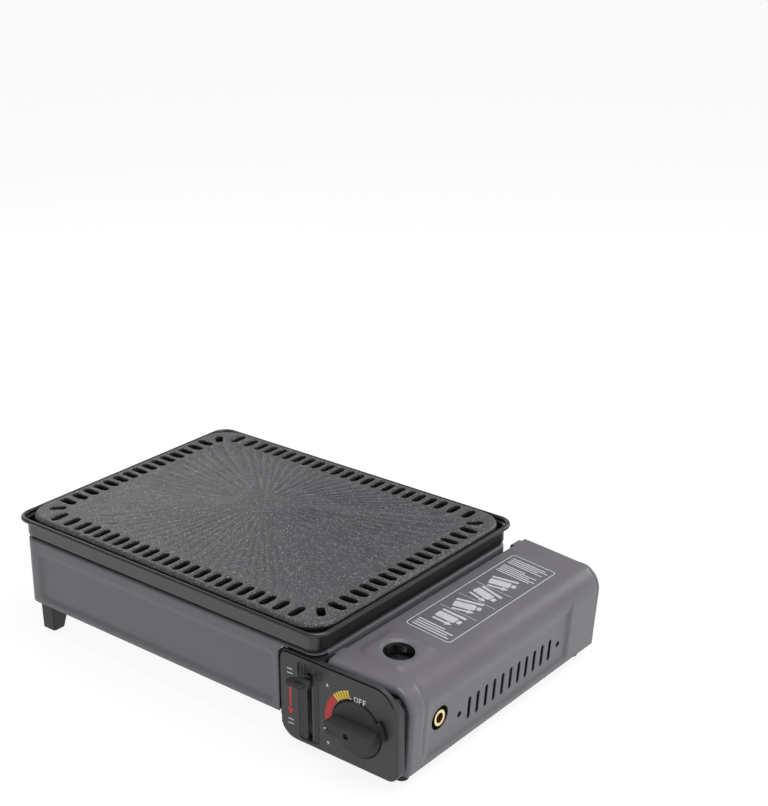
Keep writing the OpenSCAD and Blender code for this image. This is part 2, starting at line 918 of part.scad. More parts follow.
// Places and headings along a route whose corners are rounded
function along(route, bend) = concat(
    [[route[0], unit(route[1] - route[0])]],
    [for (k = [1 : len(route) - 2])
        let (a = unit(route[k] - route[k - 1]), b = unit(route[k + 1] - route[k]))
        each [
            [route[k] - bend * a, a],
            [route[k] + 0.29 * bend * (b - a), unit(a + b)],
            [route[k] + bend * b, b]
        ]],
    [[route[len(route) - 1], unit(route[len(route) - 1] - route[len(route) - 2])]]
);

// Round tube along a route, made as one closed solid
module tube_along(route, bend, r, sides) {
    steps = along(route, bend);
    lean = [1, 2, 0.7];
    points = [for (s = steps, k = [0 : sides - 1])
        let (u = unit(cross(s[1], lean)), v = cross(s[1], u), a = 360 * k / sides)
        s[0] + r * (cos(a) * u + sin(a) * v)];
    walls = [for (i = [0 : len(steps) - 2], k = [0 : sides - 1])
        let (a = i * sides + k, b = i * sides + (k + 1) % sides)
        each [[a, b + sides, b], [a, a + sides, b + sides]]];
    first = [for (k = [1 : sides - 2]) [0, k, k + 1]];
    top = (len(steps) - 1) * sides;
    last = [for (k = [1 : sides - 2]) [top, top + k + 1, top + k]];
    polyhedron(points = points, faces = concat(walls, first, last), convexity = 6);
}

module ignition_wire() {
    route = [
        [wire_x, cam_y + cam_t / 2 + 5.1, axis_z], [wire_x, wire_y, axis_z],
        [wire_x, wire_y, wire_top], [panel_x0 + 12, wire_y, wire_top],
        [panel_x0 + 12, wire_y, wire_z], [spark_x, spark_y, wire_z], [spark_x, spark_y, bowl_z - 6]
    ];
    color("crimson")
        tube_along(route, 3, wire_r, 8);
}

module electrode_insulator() {
    color("white")
        difference() {
            translate([spark_x, spark_y, bowl_z - 6])
                cylinder(h = cap_z - bowl_z + 2, r = spark_r);
            translate([spark_x, spark_y, bowl_z + 4])
                cylinder(h = cap_z, r = 1);
        }
}

module spark_electrode() {
    top = cap_z + 5;
    color("silver") {
        translate([spark_x, spark_y, bowl_z + 4])
            cylinder(h = top - bowl_z - 4, r = 1);
        translate([spark_x, spark_y, top])
            sphere(1);
        translate([spark_x, spark_y, top])
            rotate([0, 90, 135])
                cylinder(h = 54 - burner_r - 3, r = 1);
    }
}

// Frame of the lid: X down its sloping top, Z out of it
module on_lid() {
    translate([lid_x, 0, lid_top])
        rotate([0, lid_tilt, 0])
            children();
}

// Drawing of (outward, Y) carried over the lid's top, round its shoulder and down its side
module along_lid() {
    on_lid() {
        translate([lid_u - shoulder_r, 0, 0])
            rotate([0, -90, 0])
                linear_extrude(lid_u - shoulder_r - lid_lap)
                    children();
        translate([lid_u - shoulder_r, 0, -shoulder_r])
            rotate([-90, 0, 0])
                rotate([0, 0, -90])
                    rotate_extrude(angle = 90)
                        translate([shoulder_r, 0])
                            children();
        translate([lid_u, 0, -lid_v])
            linear_extrude(lid_v - shoulder_r)
                children();
    }
}

// Sheet of the lid from front to back, with its ends turned in
module lid_strip() {
    translate([-lid_t, lid_y0 + lid_end])
        square([lid_t, lid_len - 2 * lid_end]);
    for (end = [0, 1])
        translate([-lid_end, end == 0 ? lid_y0 + lid_end : lid_y1 - lid_end])
            intersection() {
                difference() {
                    circle(lid_end);
                    circle(lid_end - lid_t);
                }
                translate([0, (end - 1) * (lid_end + eps)])
                    square(lid_end + eps);
            }
}

// Round hole through the lid's side
module side_hole(y, z, r) {
    bar_x(y, z, x_right - 2, x_right + lid_lean + 2, r);
}

// Slot with round ends in the lid's side, one above the other
module side_slot(y, z, w, h) {
    block([x_right - 2, y - w / 2, z - h / 2 + w / 2],
          [x_right + lid_lean + 2, y + w / 2, z + h / 2 - w / 2]);
    for (s = [-1, 1])
        side_hole(y, z + s * (h / 2 - w / 2), w / 2);
}

module cartridge_lid() {
    vent_y = lid_y0 + 143.5;
    vent_pitch = 12.1;
    vent_z = 35;
    color("gray")
        difference() {
            union() {
                along_lid()
                    lid_strip();
                for (y = knuckle_y)
                    bar_y(hinge_x, hinge_z, y, y + knuckle_l, knuckle_r);
            }
            for (y = knuckle_y)
                bar_y(hinge_x, hinge_z, y - eps, y + knuckle_l + eps, pin_r + run_fit);
            on_lid() {
                for (y = [lid_y0 - eps, lid_y1 - 12])
                    block([-1, y, -lid_end - eps], [9, y + 12 + eps, -lid_t]);
                translate([hole_u, reg_y, -3])
                    cylinder(h = 6, r = lid_hole_d / 2);
                translate([hole_u, reg_y, -0.3])
                    cylinder(h = 3, r = lid_hole_d / 2 + 4);
            }
            side_hole(reg_y, axis_z, hose_hole_d / 2);
            for (k = [0 : vent_n - 1])
                side_slot(vent_y + (k - (vent_n - 1) / 2) * vent_pitch, vent_z, 3.6, vent_h);
            for (s = [-1, 1])
                side_hole(vent_y + s * 74.2, vent_z, 2.3);
            for (y = [lid_y0 + 15, lid_y1 - 9])
                along_lid()
                    translate([-0.3, y])
                        square([1, 3]);
        }
}

module hinge_pins() {
    color("silver") {
        bar_y(hinge_x, hinge_z, bulk_y - 0.5, knuckle_y[0] + knuckle_l + 1, pin_r);
        bar_y(hinge_x, hinge_z, knuckle_y[1] - 1, rear_y + sheet + 0.5, pin_r);
    }
}

module grease_tray() {
    w = box_w - 0.6;
    d = box_d - 0.6;
    rim_u = rim_over + 0.3 - rim_d / 2;
    rim_c = plate_z - rim_drop - rim_d / 2;
    color("black")
        translate([box_cx, box_cy, 0])
            difference() {
                union() {
                    around(w, d, tray_r)
                        union() {
                            polygon([
                                [-sheet, tray_z], [0, tray_z], [0, rim_c - 2.6],
                                [rim_u, rim_c - 1.2], [rim_u, rim_c + 0.2], [-sheet, rim_c - 2.4]
                            ]);
                            translate([rim_u, rim_c])
                                circle(rim_d / 2, $fn = 32);
                        }
                    slab(w - sheet, d - sheet, tray_r - sheet / 2, tray_z, tray_z + sheet);
                    translate([0, 0, tray_z])
                        cylinder(h = 8, r = bowl_r + 10);
                    for (sx = [-1, 1], sy = [-1, 1])
                        translate([sx * (w / 2 - 30), sy * (d / 2 - 30), deck_z + gap])
                            cylinder(h = tray_z - deck_z, r = 6);
                }
                translate([0, 0, tray_z - eps])
                    cylinder(h = 12, r = bowl_r + 9);
            }
}

// Place of a slot in a row of n, whose last two slots at each end stand wider apart
function slot_at(k, n, end, widen) =
    let (j = k - (n - 1) / 2, past = max(0, abs(j) - (n - 5) / 2))
    sign(j) * (abs(j) + widen * past * (past + 1)) * end / ((n - 1) / 2 + 6 * widen);

// Slot with round ends, long way along X
module plate_slot(length) {
    translate([0, 0, -eps])
        linear_extrude(plate_t + 2 * eps) {
            square([length - slot_w, slot_w], center = true);
            for (s = [-1, 1])
                translate([s * (length - slot_w) / 2, 0])
                    circle(slot_w / 2, $fn = 32);
        }
}

// Shallow cone over a rounded base that lies at z, with a flat in the middle
module plate_dome(z) {
    sides = 48;
    hub = 0.12;
    spread = 1 + (1 - hub) / plate_rise;
    reach = [for (k = [0 : sides - 1])
        let (a = 360 * (k + 0.5) / sides, u = abs(cos(a)) / dome_x, v = abs(sin(a)) / dome_y)
        [cos(a), sin(a)] / pow(pow(u, 3) + pow(v, 3), 1 / 3)];
    low = [for (p = reach) [p[0] * spread, p[1] * spread, z - 1]];
    high = [for (p = reach) [p[0] * hub, p[1] * hub, z + plate_rise]];
    walls = [for (k = [0 : sides - 1])
        let (n = (k + 1) % sides)
        each [[k, k + sides, n + sides], [k, n + sides, n]]];
    base = [for (k = [1 : sides - 2]) [0, k, k + 1]];
    top = [for (k = [1 : sides - 2]) [sides, sides + k + 1, sides + k]];
    polyhedron(points = concat(low, high), faces = concat(walls, base, top), convexity = 2);
}

module grill_plate() {
    color("dimgray")
        translate([box_cx, box_cy, plate_z - plate_t])
            difference() {
                union() {
                    slab(plate_w, plate_d, plate_r, 0, plate_t);
                    plate_dome(plate_t);
                }
                plate_dome(0);
                for (k = [0 : long_slots - 1], s = [-1, 1])
                    translate([slot_at(k, long_slots, long_end, 0.09), s * slot_cy, 0])
                        rotate([0, 0, 90])
                            plate_slot(slot_len);
                for (k = [0 : short_slots - 1], s = [-1, 1])
                    translate([s * slot_cx, slot_at(k, short_slots, short_end, 0.04), 0])
                        plate_slot(slot_len);
                for (sx = [-1, 1], sy = [-1, 1])
                    translate([sx * (slot_cx - 4), sy * (slot_cy - 12), 0])
                        rotate([0, 0, sx * sy * 45])
                            plate_slot(corner_slot);
            }
}

module plate_feet() {
    z0 = tray_z + sheet + gap;
    color("gray")
        for (sx = [-1, 1], sy = [-1, 1])
            translate([box_cx + sx * (slot_cx - plate_foot_in), box_cy + sy * (slot_cy - plate_foot_in), z0])
                cylinder(h = plate_z - plate_t - z0, r = plate_foot_r);
}

body_shell();
base_plate();
bay_shell();
bay_front();
bay_rear();
heat_shield();
front_left_leg();
rear_left_leg();
front_right_foot();
rear_right_foot();
leg_screws();
control_panel();
panel_screws();
control_knob();
valve_spindle();
igniter_cam();
lock_lever();
lever_tab();
lever_pivot();
cartridge_yoke();
yoke_guide();
regulator_body();
regulator_cap();
cartridge_socket();
socket_seal();
gas_valve_body();
hose_inlet();
injector_nozzle();
mixing_tube();
burner_head();
burner_cap();
burner_bracket();
reflector();
piezo_igniter();
ignition_wire();
spark_electrode();
electrode_insulator();
cartridge_lid();
hinge_pins();
grease_tray();
grill_plate();
plate_feet();
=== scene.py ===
import json
import logging
import math
from dataclasses import dataclass, field
from enum import Enum
from typing import Callable, Optional, Sequence

import bmesh
import bpy
import numpy as np
from mathutils import Matrix, Vector
from mathutils.geometry import delaunay_2d_cdt

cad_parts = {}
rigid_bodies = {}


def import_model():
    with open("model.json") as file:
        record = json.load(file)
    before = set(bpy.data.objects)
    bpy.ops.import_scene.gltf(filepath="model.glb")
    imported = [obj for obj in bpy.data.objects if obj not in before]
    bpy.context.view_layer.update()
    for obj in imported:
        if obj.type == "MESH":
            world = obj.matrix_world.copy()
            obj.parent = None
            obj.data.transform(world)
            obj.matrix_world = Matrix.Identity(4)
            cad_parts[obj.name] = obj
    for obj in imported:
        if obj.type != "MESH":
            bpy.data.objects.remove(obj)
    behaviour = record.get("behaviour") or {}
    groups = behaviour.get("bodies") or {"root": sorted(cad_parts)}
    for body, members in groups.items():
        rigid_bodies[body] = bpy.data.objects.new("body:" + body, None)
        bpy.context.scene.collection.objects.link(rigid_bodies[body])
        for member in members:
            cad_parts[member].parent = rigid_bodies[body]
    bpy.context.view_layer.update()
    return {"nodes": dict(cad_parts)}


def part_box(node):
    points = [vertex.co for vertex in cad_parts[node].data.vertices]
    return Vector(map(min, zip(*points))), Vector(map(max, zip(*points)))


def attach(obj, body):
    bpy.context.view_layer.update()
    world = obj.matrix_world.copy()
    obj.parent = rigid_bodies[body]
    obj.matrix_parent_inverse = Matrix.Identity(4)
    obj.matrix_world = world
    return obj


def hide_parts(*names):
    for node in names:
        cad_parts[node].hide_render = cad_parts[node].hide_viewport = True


for left_over in list(bpy.data.objects):
    bpy.data.objects.remove(left_over)
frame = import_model()

MM = 0.001
LOG = logging.getLogger("grill")
Array = np.ndarray
# millimetres: the knob's height over the panel's face, half the lever's thickness, and the ink's thickness
KNOB_OUT = 13.5
LEVER_HALF = 1.8
INK_PROUD = 0.08


@dataclass
class Surface:
    """Points in millimetres and the faces between them."""

    points: Array
    faces: list[Array]

    def __add__(self, other: "Surface") -> "Surface":
        """Both surfaces in one mesh."""
        shift = len(self.points)
        return Surface(np.vstack([self.points, other.points]), self.faces + [f + shift for f in other.faces])

    def shifted(self, shift: Sequence[float]) -> "Surface":
        """The surface moved."""
        return Surface(self.points + shift, self.faces)

    def laid(self, shift: Sequence[float], signs: Sequence[int]) -> "Surface":
        """The surface with its local Z laid along Y, each axis given a sign, and moved."""
        return Surface(self.points[:, [0, 2, 1]] * signs + shift, self.faces)


def smooth(edge0: float, edge1: float, value: Array) -> Array:
    """Smooth step from 0 at edge0 to 1 at edge1."""
    t = np.clip((value - edge0) / (edge1 - edge0), 0.0, 1.0)
    return t * t * (3.0 - 2.0 * t)


def fillet(depth: Array, radius: float) -> Array:
    """How far a rounded edge drops at a depth in from the edge: a quarter circle of that radius."""
    t = radius - np.clip(depth, 0.0, radius)
    return radius - np.sqrt(np.maximum(radius * radius - t * t, 0.0))


def bump(offset: Array, width: float) -> Array:
    """Soft ridge of height 1 across a line, gone at half the width to each side: a raised cosine."""
    return 0.5 + 0.5 * np.cos(np.pi * np.clip(2.0 * offset / width, -1.0, 1.0))


def grid_faces(rows: int, columns: int, wrap_rows: bool = False, wrap_columns: bool = False) -> Array:
    """Quads of a grid of points.

    Args:
        rows: points one way.
        columns: points the other way.
        wrap_rows: the last row joins the first.
        wrap_columns: the last column joins the first.
    Returns:
        Four point numbers per face.
    """
    index = np.arange(rows * columns).reshape(rows, columns)
    if wrap_rows:
        index = np.vstack([index, index[:1]])
    if wrap_columns:
        index = np.hstack([index, index[:, :1]])
    return np.stack([index[:-1, :-1], index[1:, :-1], index[1:, 1:], index[:-1, 1:]], -1).reshape(-1, 4)


def lathe(profile: Sequence[tuple[float, float]], turns: int = 64, closed: bool = False) -> Surface:
    """Profile of (radius, height) turned about the local Z axis.

    Args:
        profile: points from one end to the other.
        turns: steps round the axis.
        closed: the profile's last point joins its first.
    Returns:
        A surface whose point (i, k) is (r_i cos a_k, r_i sin a_k, h_i).
    """
    line = np.asarray(profile, float)
    angle = np.linspace(0.0, 2.0 * np.pi, turns, endpoint=False)
    x = line[:, :1] * np.cos(angle)
    y = line[:, :1] * np.sin(angle)
    z = np.repeat(line[:, 1:], turns, 1)
    points = np.stack([x, y, z], -1).reshape(-1, 3)
    return Surface(points, [grid_faces(len(line), turns, closed, True)])


def soft_block(low: Sequence[float], high: Sequence[float], radius: float, cells: int = 6) -> Surface:
    """Box with rounded edges and corners.

    A cube's face grids are drawn onto a sphere. Each point moves to the corner of its own octant of the box
    drawn in by the radius, plus the radius times its direction.

    Args:
        low: lowest corner.
        high: highest corner.
        radius: of the edges.
        cells: points along a cube edge, an even number.
    Returns:
        A closed surface.
    """
    low, high = np.asarray(low, float), np.asarray(high, float)
    line = np.tan(np.linspace(-np.pi / 4, np.pi / 4, cells))
    a, b = np.meshgrid(line, line, indexing="ij")
    face = np.stack([a, b, np.ones_like(a)], -1).reshape(-1, 3)
    sides = np.vstack([np.roll(face * [1, 1, s], k, 1) for k in range(3) for s in (-1, 1)])
    way = sides / np.linalg.norm(sides, axis=1, keepdims=True)
    points = (low + high) / 2 + np.sign(way) * ((high - low) / 2 - radius) + radius * way
    quads = grid_faces(cells, cells)
    return Surface(points, [quads + k * cells * cells for k in range(6)])


@dataclass(frozen=True)
class Rounded:
    """Rounded rectangle between two corners, with a radius for each corner.

    The radii are for the corners high-high, low-high, low-low and high-low.
    """

    low: tuple[float, float]
    high: tuple[float, float]
    radii: tuple[float, float, float, float]

    def loop(self, step: float, inset: float = 0.0, arc: int = 9) -> tuple[Array, Array]:
        """Points round the outline and their outward directions, counter-clockwise.

        Args:
            step: spacing on the straight sides.
            inset: how far the loop is drawn in.
            arc: points on each corner.
        Returns:
            Points and unit normals, as many for every inset.
        """
        low, high = np.array(self.low), np.array(self.high)
        toward = np.array([[1, 1], [0, 1], [0, 0], [1, 0]])
        radii = np.array(self.radii)[:, None]
        centre = np.where(toward, high, low) - np.where(toward, 1, -1) * radii
        turn = np.radians(np.arange(4)[:, None] * 90.0 + np.linspace(0.0, 90.0, arc))
        way = np.stack([np.cos(turn), np.sin(turn)], -1)
        corner = centre[:, None] + radii[:, None] * way
        points, normals = [], []
        for k in range(4):
            start, end = corner[k, -1], corner[(k + 1) % 4, 0]
            count = max(2, int(np.linalg.norm(end - start) / step))
            share = np.linspace(0.0, 1.0, count, endpoint=False)[1:, None]
            points += [corner[k], start + share * (end - start)]
            normals += [way[k], np.repeat(way[k, -1:], count - 1, 0)]
        points, normals = np.vstack(points), np.vstack(normals)
        return points - inset * normals, normals

    def depth(self, spots: Array) -> Array:
        """How far inside the outline each spot lies, negative outside."""
        low, high = np.array(self.low), np.array(self.high)
        from_middle = spots - (low + high) / 2
        right, up = from_middle[:, 0] > 0, from_middle[:, 1] > 0
        radius = np.select([right & up, ~right & up, ~right & ~up], self.radii[:3], self.radii[3])
        past = np.abs(from_middle) - (high - low) / 2 + radius[:, None]
        return radius - np.linalg.norm(np.maximum(past, 0.0), axis=1) - np.minimum(past.max(1), 0.0)


def square(low: tuple[float, float], high: tuple[float, float], radius: float) -> Rounded:
    """Rounded rectangle with the same radius at each corner."""
    return Rounded(low, high, (radius,) * 4)


def bar_loop(low: tuple[float, float], high: tuple[float, float], radius: float, step: float = 3.0) -> Array:
    """Points round a small bar with rounded corners."""
    return square(low, high, radius).loop(step, arc=4)[0]


def circle(centre: Sequence[float], radius: float, count: int) -> Array:
    """Points round a circle."""
    angle = np.linspace(0.0, 2.0 * np.pi, count, endpoint=False)
    return np.asarray(centre) + radius * np.stack([np.cos(angle), np.sin(angle)], -1)


def lattice(xs: Array, ys: Array) -> Array:
    """Every pair of the two lists of coordinates."""
    return np.stack(np.meshgrid(xs, ys, indexing="ij"), -1).reshape(-1, 2)


def pairs(first: Array, second: Array) -> Array:
    """Points from two lists of coordinates, either of which may be a single number."""
    return np.stack(np.broadcast_arrays(first, second), -1)


def stations(low: float, high: float, step: float, marks: Sequence[float] = (), fine: float = 0.0) -> Array:
    """Coordinates at a step, with closer ones at each mark and a little to both sides of it."""
    plain = np.linspace(low, high, max(2, int(round((high - low) / step)) + 1))
    if not len(marks):
        return plain
    near = np.ravel(np.asarray(marks)[:, None] + np.array([-1.5, -0.5, 0.5, 1.5]) * fine)
    near = near[(near > low) & (near < high)]
    gap = np.abs(plain[:, None] - near[None]).min(1)
    keep = (gap > fine * 0.7) | (plain == low) | (plain == high)
    return np.unique(np.concatenate([plain[keep], near]))


class Sheet:
    """Flat sheet of triangles that follows loops and lines, to be given heights and a place."""

    def __init__(
        self, loops: list[Array], lines: list[Array], spots: Array, keep: Callable[[Array], Array]
    ) -> None:
        """Join the points by constrained Delaunay triangulation.

        Args:
            loops: closed edges of the sheet, its outline and its holes.
            lines: open chains of points that triangles may not cross.
            spots: further points.
            keep: says for the middles of triangles which ones stay.
        """
        chains = [*loops, *lines]
        sizes = [len(c) for c in chains]
        starts = np.concatenate([[0], np.cumsum(sizes)]).astype(int)
        rings = [np.arange(a, a + n) for a, n in zip(starts, sizes)]
        edges = [np.stack([r, np.roll(r, -1)], 1) for r in rings]
        edges = [e if k < len(loops) else e[:-1] for k, e in enumerate(edges)]
        points = np.vstack([*chains, spots.reshape(-1, 2)])
        made = delaunay_2d_cdt([Vector(p) for p in points.tolist()], np.vstack(edges).tolist(), [], 0, 1e-5)
        self.points = np.array([v[:] for v in made[0]])
        faces = np.array(made[2])
        self.faces = faces[keep(self.points[faces].mean(1))]
        counts = [len(o) for o in made[3]]
        place = np.zeros(len(points), int)
        origins = np.concatenate([np.asarray(o, int) for o in made[3]])
        place[origins] = np.repeat(np.arange(len(counts)), counts)
        self.rings = [place[r] for r in rings[: len(loops)]]

    def solid(self, top: Array, bottom: Array, place: Callable[[Array, Array], Array]) -> Surface:
        """Closed solid between two heights over every point.

        Args:
            top: height of the upper skin.
            bottom: height of the lower skin.
            place: turns flat points and heights into points in space.
        Returns:
            Both skins and the walls between them at each loop.
        """
        count = len(self.points)
        walls = [np.stack([r, np.roll(r, -1), np.roll(r, -1) + count, r + count], 1) for r in self.rings]
        points = np.vstack([place(self.points, top), place(self.points, bottom)])
        return Surface(points, [self.faces, self.faces[:, ::-1] + count, *walls])


def facing_front(y: float) -> Callable[[Array, Array], Array]:
    """Places (x, z) points with heights towards the front of the stove, from the plane at y."""
    return lambda flat, height: np.stack([flat[:, 0], y - height, flat[:, 1]], -1)


def level(flat: Array, height: Array) -> Array:
    """Places (x, y) points with heights along Z."""
    return np.column_stack([flat, height])


def thin_print(loops: list[Array], place: Callable[[Array, Array], Array], proud: float = 0.06) -> Surface:
    """Ink of some thickness inside the first loop of each pair of loops and outside the second, if any."""
    sheet = Sheet(loops, [], np.zeros((0, 2)), lambda mid: inside_loops(mid, loops))
    count = len(sheet.points)
    return sheet.solid(np.full(count, proud), np.full(count, -0.02), place)


def inside_loops(spots: Array, loops: list[Array]) -> Array:
    """Whether each spot lies inside an odd number of loops, by counting the edges that a ray crosses."""
    start = np.vstack(loops)
    end = np.vstack([np.roll(loop, -1, 0) for loop in loops])
    x, y = spots[:, :1], spots[:, 1:]
    across = (start[:, 1] > y) != (end[:, 1] > y)
    rise = np.where(end[:, 1] == start[:, 1], 1.0, end[:, 1] - start[:, 1])
    at = start[:, 0] + (y - start[:, 1]) * (end[:, 0] - start[:, 0]) / rise
    return (across & (x < at)).sum(1) % 2 == 1


def linear(colour: Sequence[float]) -> tuple[float, float, float, float]:
    """Colour of 0 to 255 as shown on a screen, made linear."""
    c = np.asarray(colour, float) / 255.0
    c = np.where(c <= 0.04045, c / 12.92, ((c + 0.055) / 1.055) ** 2.4)
    return (*map(float, c), 1.0)


@dataclass(frozen=True)
class Wiring:
    """Makes and links the shader nodes of one tree."""

    tree: bpy.types.NodeTree

    def add(self, kind: str, inputs: dict, **settings: object) -> bpy.types.Node:
        """New node.

        Args:
            kind: of node, without the common first part of its name.
            inputs: a socket to link or a value to set, by the input's name or number.
            settings: the node's own properties.
        Returns:
            The node.
        """
        node = self.tree.nodes.new("ShaderNode" + kind)
        for key, value in settings.items():
            setattr(node, key, value)
        self.feed(node, inputs)
        return node

    def feed(self, node: bpy.types.Node, inputs: dict) -> None:
        """Link each input that is given a socket, and set each that is given a value."""
        for key, value in inputs.items():
            if isinstance(value, bpy.types.NodeSocket):
                self.tree.links.new(value, node.inputs[key])
            else:
                node.inputs[key].default_value = value

    def maths(self, operation: str, first: object, second: object) -> bpy.types.NodeSocket:
        """Result of an operation on two numbers."""
        return self.add("Math", {0: first, 1: second}, operation=operation).outputs[0]

    def spread(
        self, value: object, old: Sequence[float], new: Sequence[float] = (0.0, 1.0)
    ) -> bpy.types.NodeSocket:
        """A number carried from an old range to a new one, and held within it."""
        keys = ("From Min", "From Max", "To Min", "To Max")
        return self.add("MapRange", {"Value": value, **dict(zip(keys, (*old, *new)))}).outputs[0]

    def mix(self, mask: object, first: object, second: object) -> bpy.types.NodeSocket:
        """Colour between two colours, by a mask."""
        return self.add("Mix", {"Factor": mask, 6: first, 7: second}, data_type="RGBA").outputs[2]

    def group(self, tree: bpy.types.NodeTree, **values: float) -> bpy.types.NodeSocket:
        """What a node group puts out for some values."""
        return self.add("Group", values, node_tree=tree).outputs[0]


class Groups:
    """Node groups that the finishes share, each made once and with one output."""

    @staticmethod
    def made(name: str, inputs: dict[str, float], output: str, fill: Callable) -> bpy.types.NodeTree:
        """Group with number sockets.

        Args:
            name: of the group.
            inputs: number sockets and their defaults.
            output: the output's name, Mask for a number or Normal for a direction.
            fill: makes the output's source from the wiring, the inputs and the coordinates.
        Returns:
            The group.
        """
        if name in bpy.data.node_groups:
            return bpy.data.node_groups[name]
        group = bpy.data.node_groups.new(name, "ShaderNodeTree")
        for key, value in inputs.items():
            socket = group.interface.new_socket(key, in_out="INPUT", socket_type="NodeSocketFloat")
            socket.default_value = value
        kind = "NodeSocketVector" if output == "Normal" else "NodeSocketFloat"
        group.interface.new_socket(output, in_out="OUTPUT", socket_type=kind)
        given, out = group.nodes.new("NodeGroupInput"), group.nodes.new("NodeGroupOutput")
        wires = Wiring(group)
        group.links.new(fill(wires, given.outputs, wires.add("TexCoord", {}).outputs), out.inputs[output])
        return group

    @staticmethod
    def noise(wires: Wiring, given: Sequence, where: Sequence, **values: float) -> bpy.types.NodeSocket:
        """Noise on Object coordinates that are stretched along X."""
        wide = wires.add("CombineXYZ", {"X": given["Stretch"], "Y": 1.0, "Z": 1.0})
        spot = wires.add("VectorMath", {0: where["Object"], 1: wide.outputs[0]}, operation="MULTIPLY")
        inputs = {"Vector": spot.outputs[0], "Scale": given["Scale"], **values}
        return wires.add("TexNoise", inputs).outputs[0]

    @staticmethod
    def patches() -> bpy.types.NodeTree:
        """Broad soft patches of noise, from 0 to 1."""

        def fill(wires: Wiring, given: Sequence, where: Sequence) -> bpy.types.NodeSocket:
            """The noise's middle range."""
            return wires.spread(Groups.noise(wires, given, where, Detail=4.0, Roughness=0.6), (0.3, 0.7))

        return Groups.made("broad_patches", {"Scale": 30.0, "Stretch": 1.0}, "Mask", fill)

    @staticmethod
    def grain() -> bpy.types.NodeTree:
        """Fine moulded or painted grain, as a bumped normal."""

        def fill(wires: Wiring, given: Sequence, where: Sequence) -> bpy.types.NodeSocket:
            """Noise as a height."""
            height = Groups.noise(wires, given, where, Detail=2.0)
            inputs = {"Distance": 0.0004, "Strength": given["Strength"], "Height": height}
            return wires.add("Bump", inputs).outputs[0]

        return Groups.made("fine_grain", {"Scale": 900.0, "Strength": 0.2, "Stretch": 1.0}, "Normal", fill)

    @staticmethod
    def flecks() -> bpy.types.NodeTree:
        """Light flecks of mixed sizes: small Voronoi cells, thinned out by their own random colour."""

        def fill(wires: Wiring, given: Sequence, where: Sequence) -> bpy.types.NodeSocket:
            """Chosen cells, out to a share of the size."""
            cells = wires.add("TexVoronoi", {"Vector": where["Object"], "Scale": given["Scale"]}).outputs
            pick = wires.add("SeparateColor", {0: cells["Color"]}).outputs
            chosen = wires.maths("LESS_THAN", pick[0], given["Share"])
            reach = wires.maths("MULTIPLY", pick[1], given["Size"])
            near = wires.maths("LESS_THAN", cells["Distance"], reach)
            return wires.maths("MULTIPLY", chosen, near)

        return Groups.made("stone_flecks", {"Scale": 420.0, "Share": 0.3, "Size": 0.3}, "Mask", fill)

    @staticmethod
    def steep() -> bpy.types.NodeTree:
        """Mask from the piece's own normal, for painted shade: 1 on walls and below, 0 on faces that look up.
        """

        def fill(wires: Wiring, _: Sequence, where: Sequence) -> bpy.types.NodeSocket:
            """The normal's height, faded out."""
            return wires.spread(wires.add("SeparateXYZ", {0: where["Normal"]}).outputs["Z"], (0.42, 0.1))

        return Groups.made("steep_faces", {}, "Mask", fill)


@dataclass(frozen=True)
class Finish:
    """Surface finish made from shader nodes on Object coordinates.

    Colours are of 0 to 255 as shown on a screen. The tint shows in broad patches, the grain is a bump, flecks
    are light specks in the coating, and steep faces may take a dark colour as painted shade.
    """

    name: str
    colour: tuple[int, int, int]
    tint: tuple[int, int, int]
    rough: tuple[float, float]
    metallic: float = 0.0
    patch_scale: float = 30.0
    grain_scale: float = 900.0
    grain: float = 0.2
    stretch: float = 1.0
    coat: float = 0.0
    coat_rough: float = 0.15
    ior: float = 1.5
    fleck: Optional[tuple[int, int, int]] = None
    fleck_scale: float = 420.0
    fleck_share: float = 0.3
    fleck_size: float = 0.3
    steep_shade: Optional[tuple[int, int, int]] = None

    def material(self) -> bpy.types.Material:
        """The finish as a Blender material, made once."""
        if self.name in bpy.data.materials:
            return bpy.data.materials[self.name]
        material = bpy.data.materials.new(self.name)
        material.use_nodes = True
        wires = Wiring(material.node_tree)
        patches = wires.group(Groups.patches(), Scale=self.patch_scale, Stretch=self.stretch)
        colour = wires.mix(patches, linear(self.colour), linear(self.tint))
        if self.fleck:
            sizes = {"Scale": self.fleck_scale, "Share": self.fleck_share, "Size": self.fleck_size}
            colour = wires.mix(wires.group(Groups.flecks(), **sizes), colour, linear(self.fleck))
        # painted shade: walls, slot insides, edges and underside are darkened by the steep mask
        if self.steep_shade:
            colour = wires.mix(wires.group(Groups.steep()), colour, linear(self.steep_shade))
        inputs = {
            "Base Color": colour,
            "Metallic": self.metallic,
            "Roughness": wires.spread(patches, (0.0, 1.0), self.rough),
            "IOR": self.ior,
            "Normal": wires.group(
                Groups.grain(), Scale=self.grain_scale, Strength=self.grain, Stretch=self.stretch
            ),
            "Coat Weight": self.coat,
            "Coat Roughness": self.coat_rough,
        }
        wires.feed(material.node_tree.nodes["Principled BSDF"], inputs)
        return material


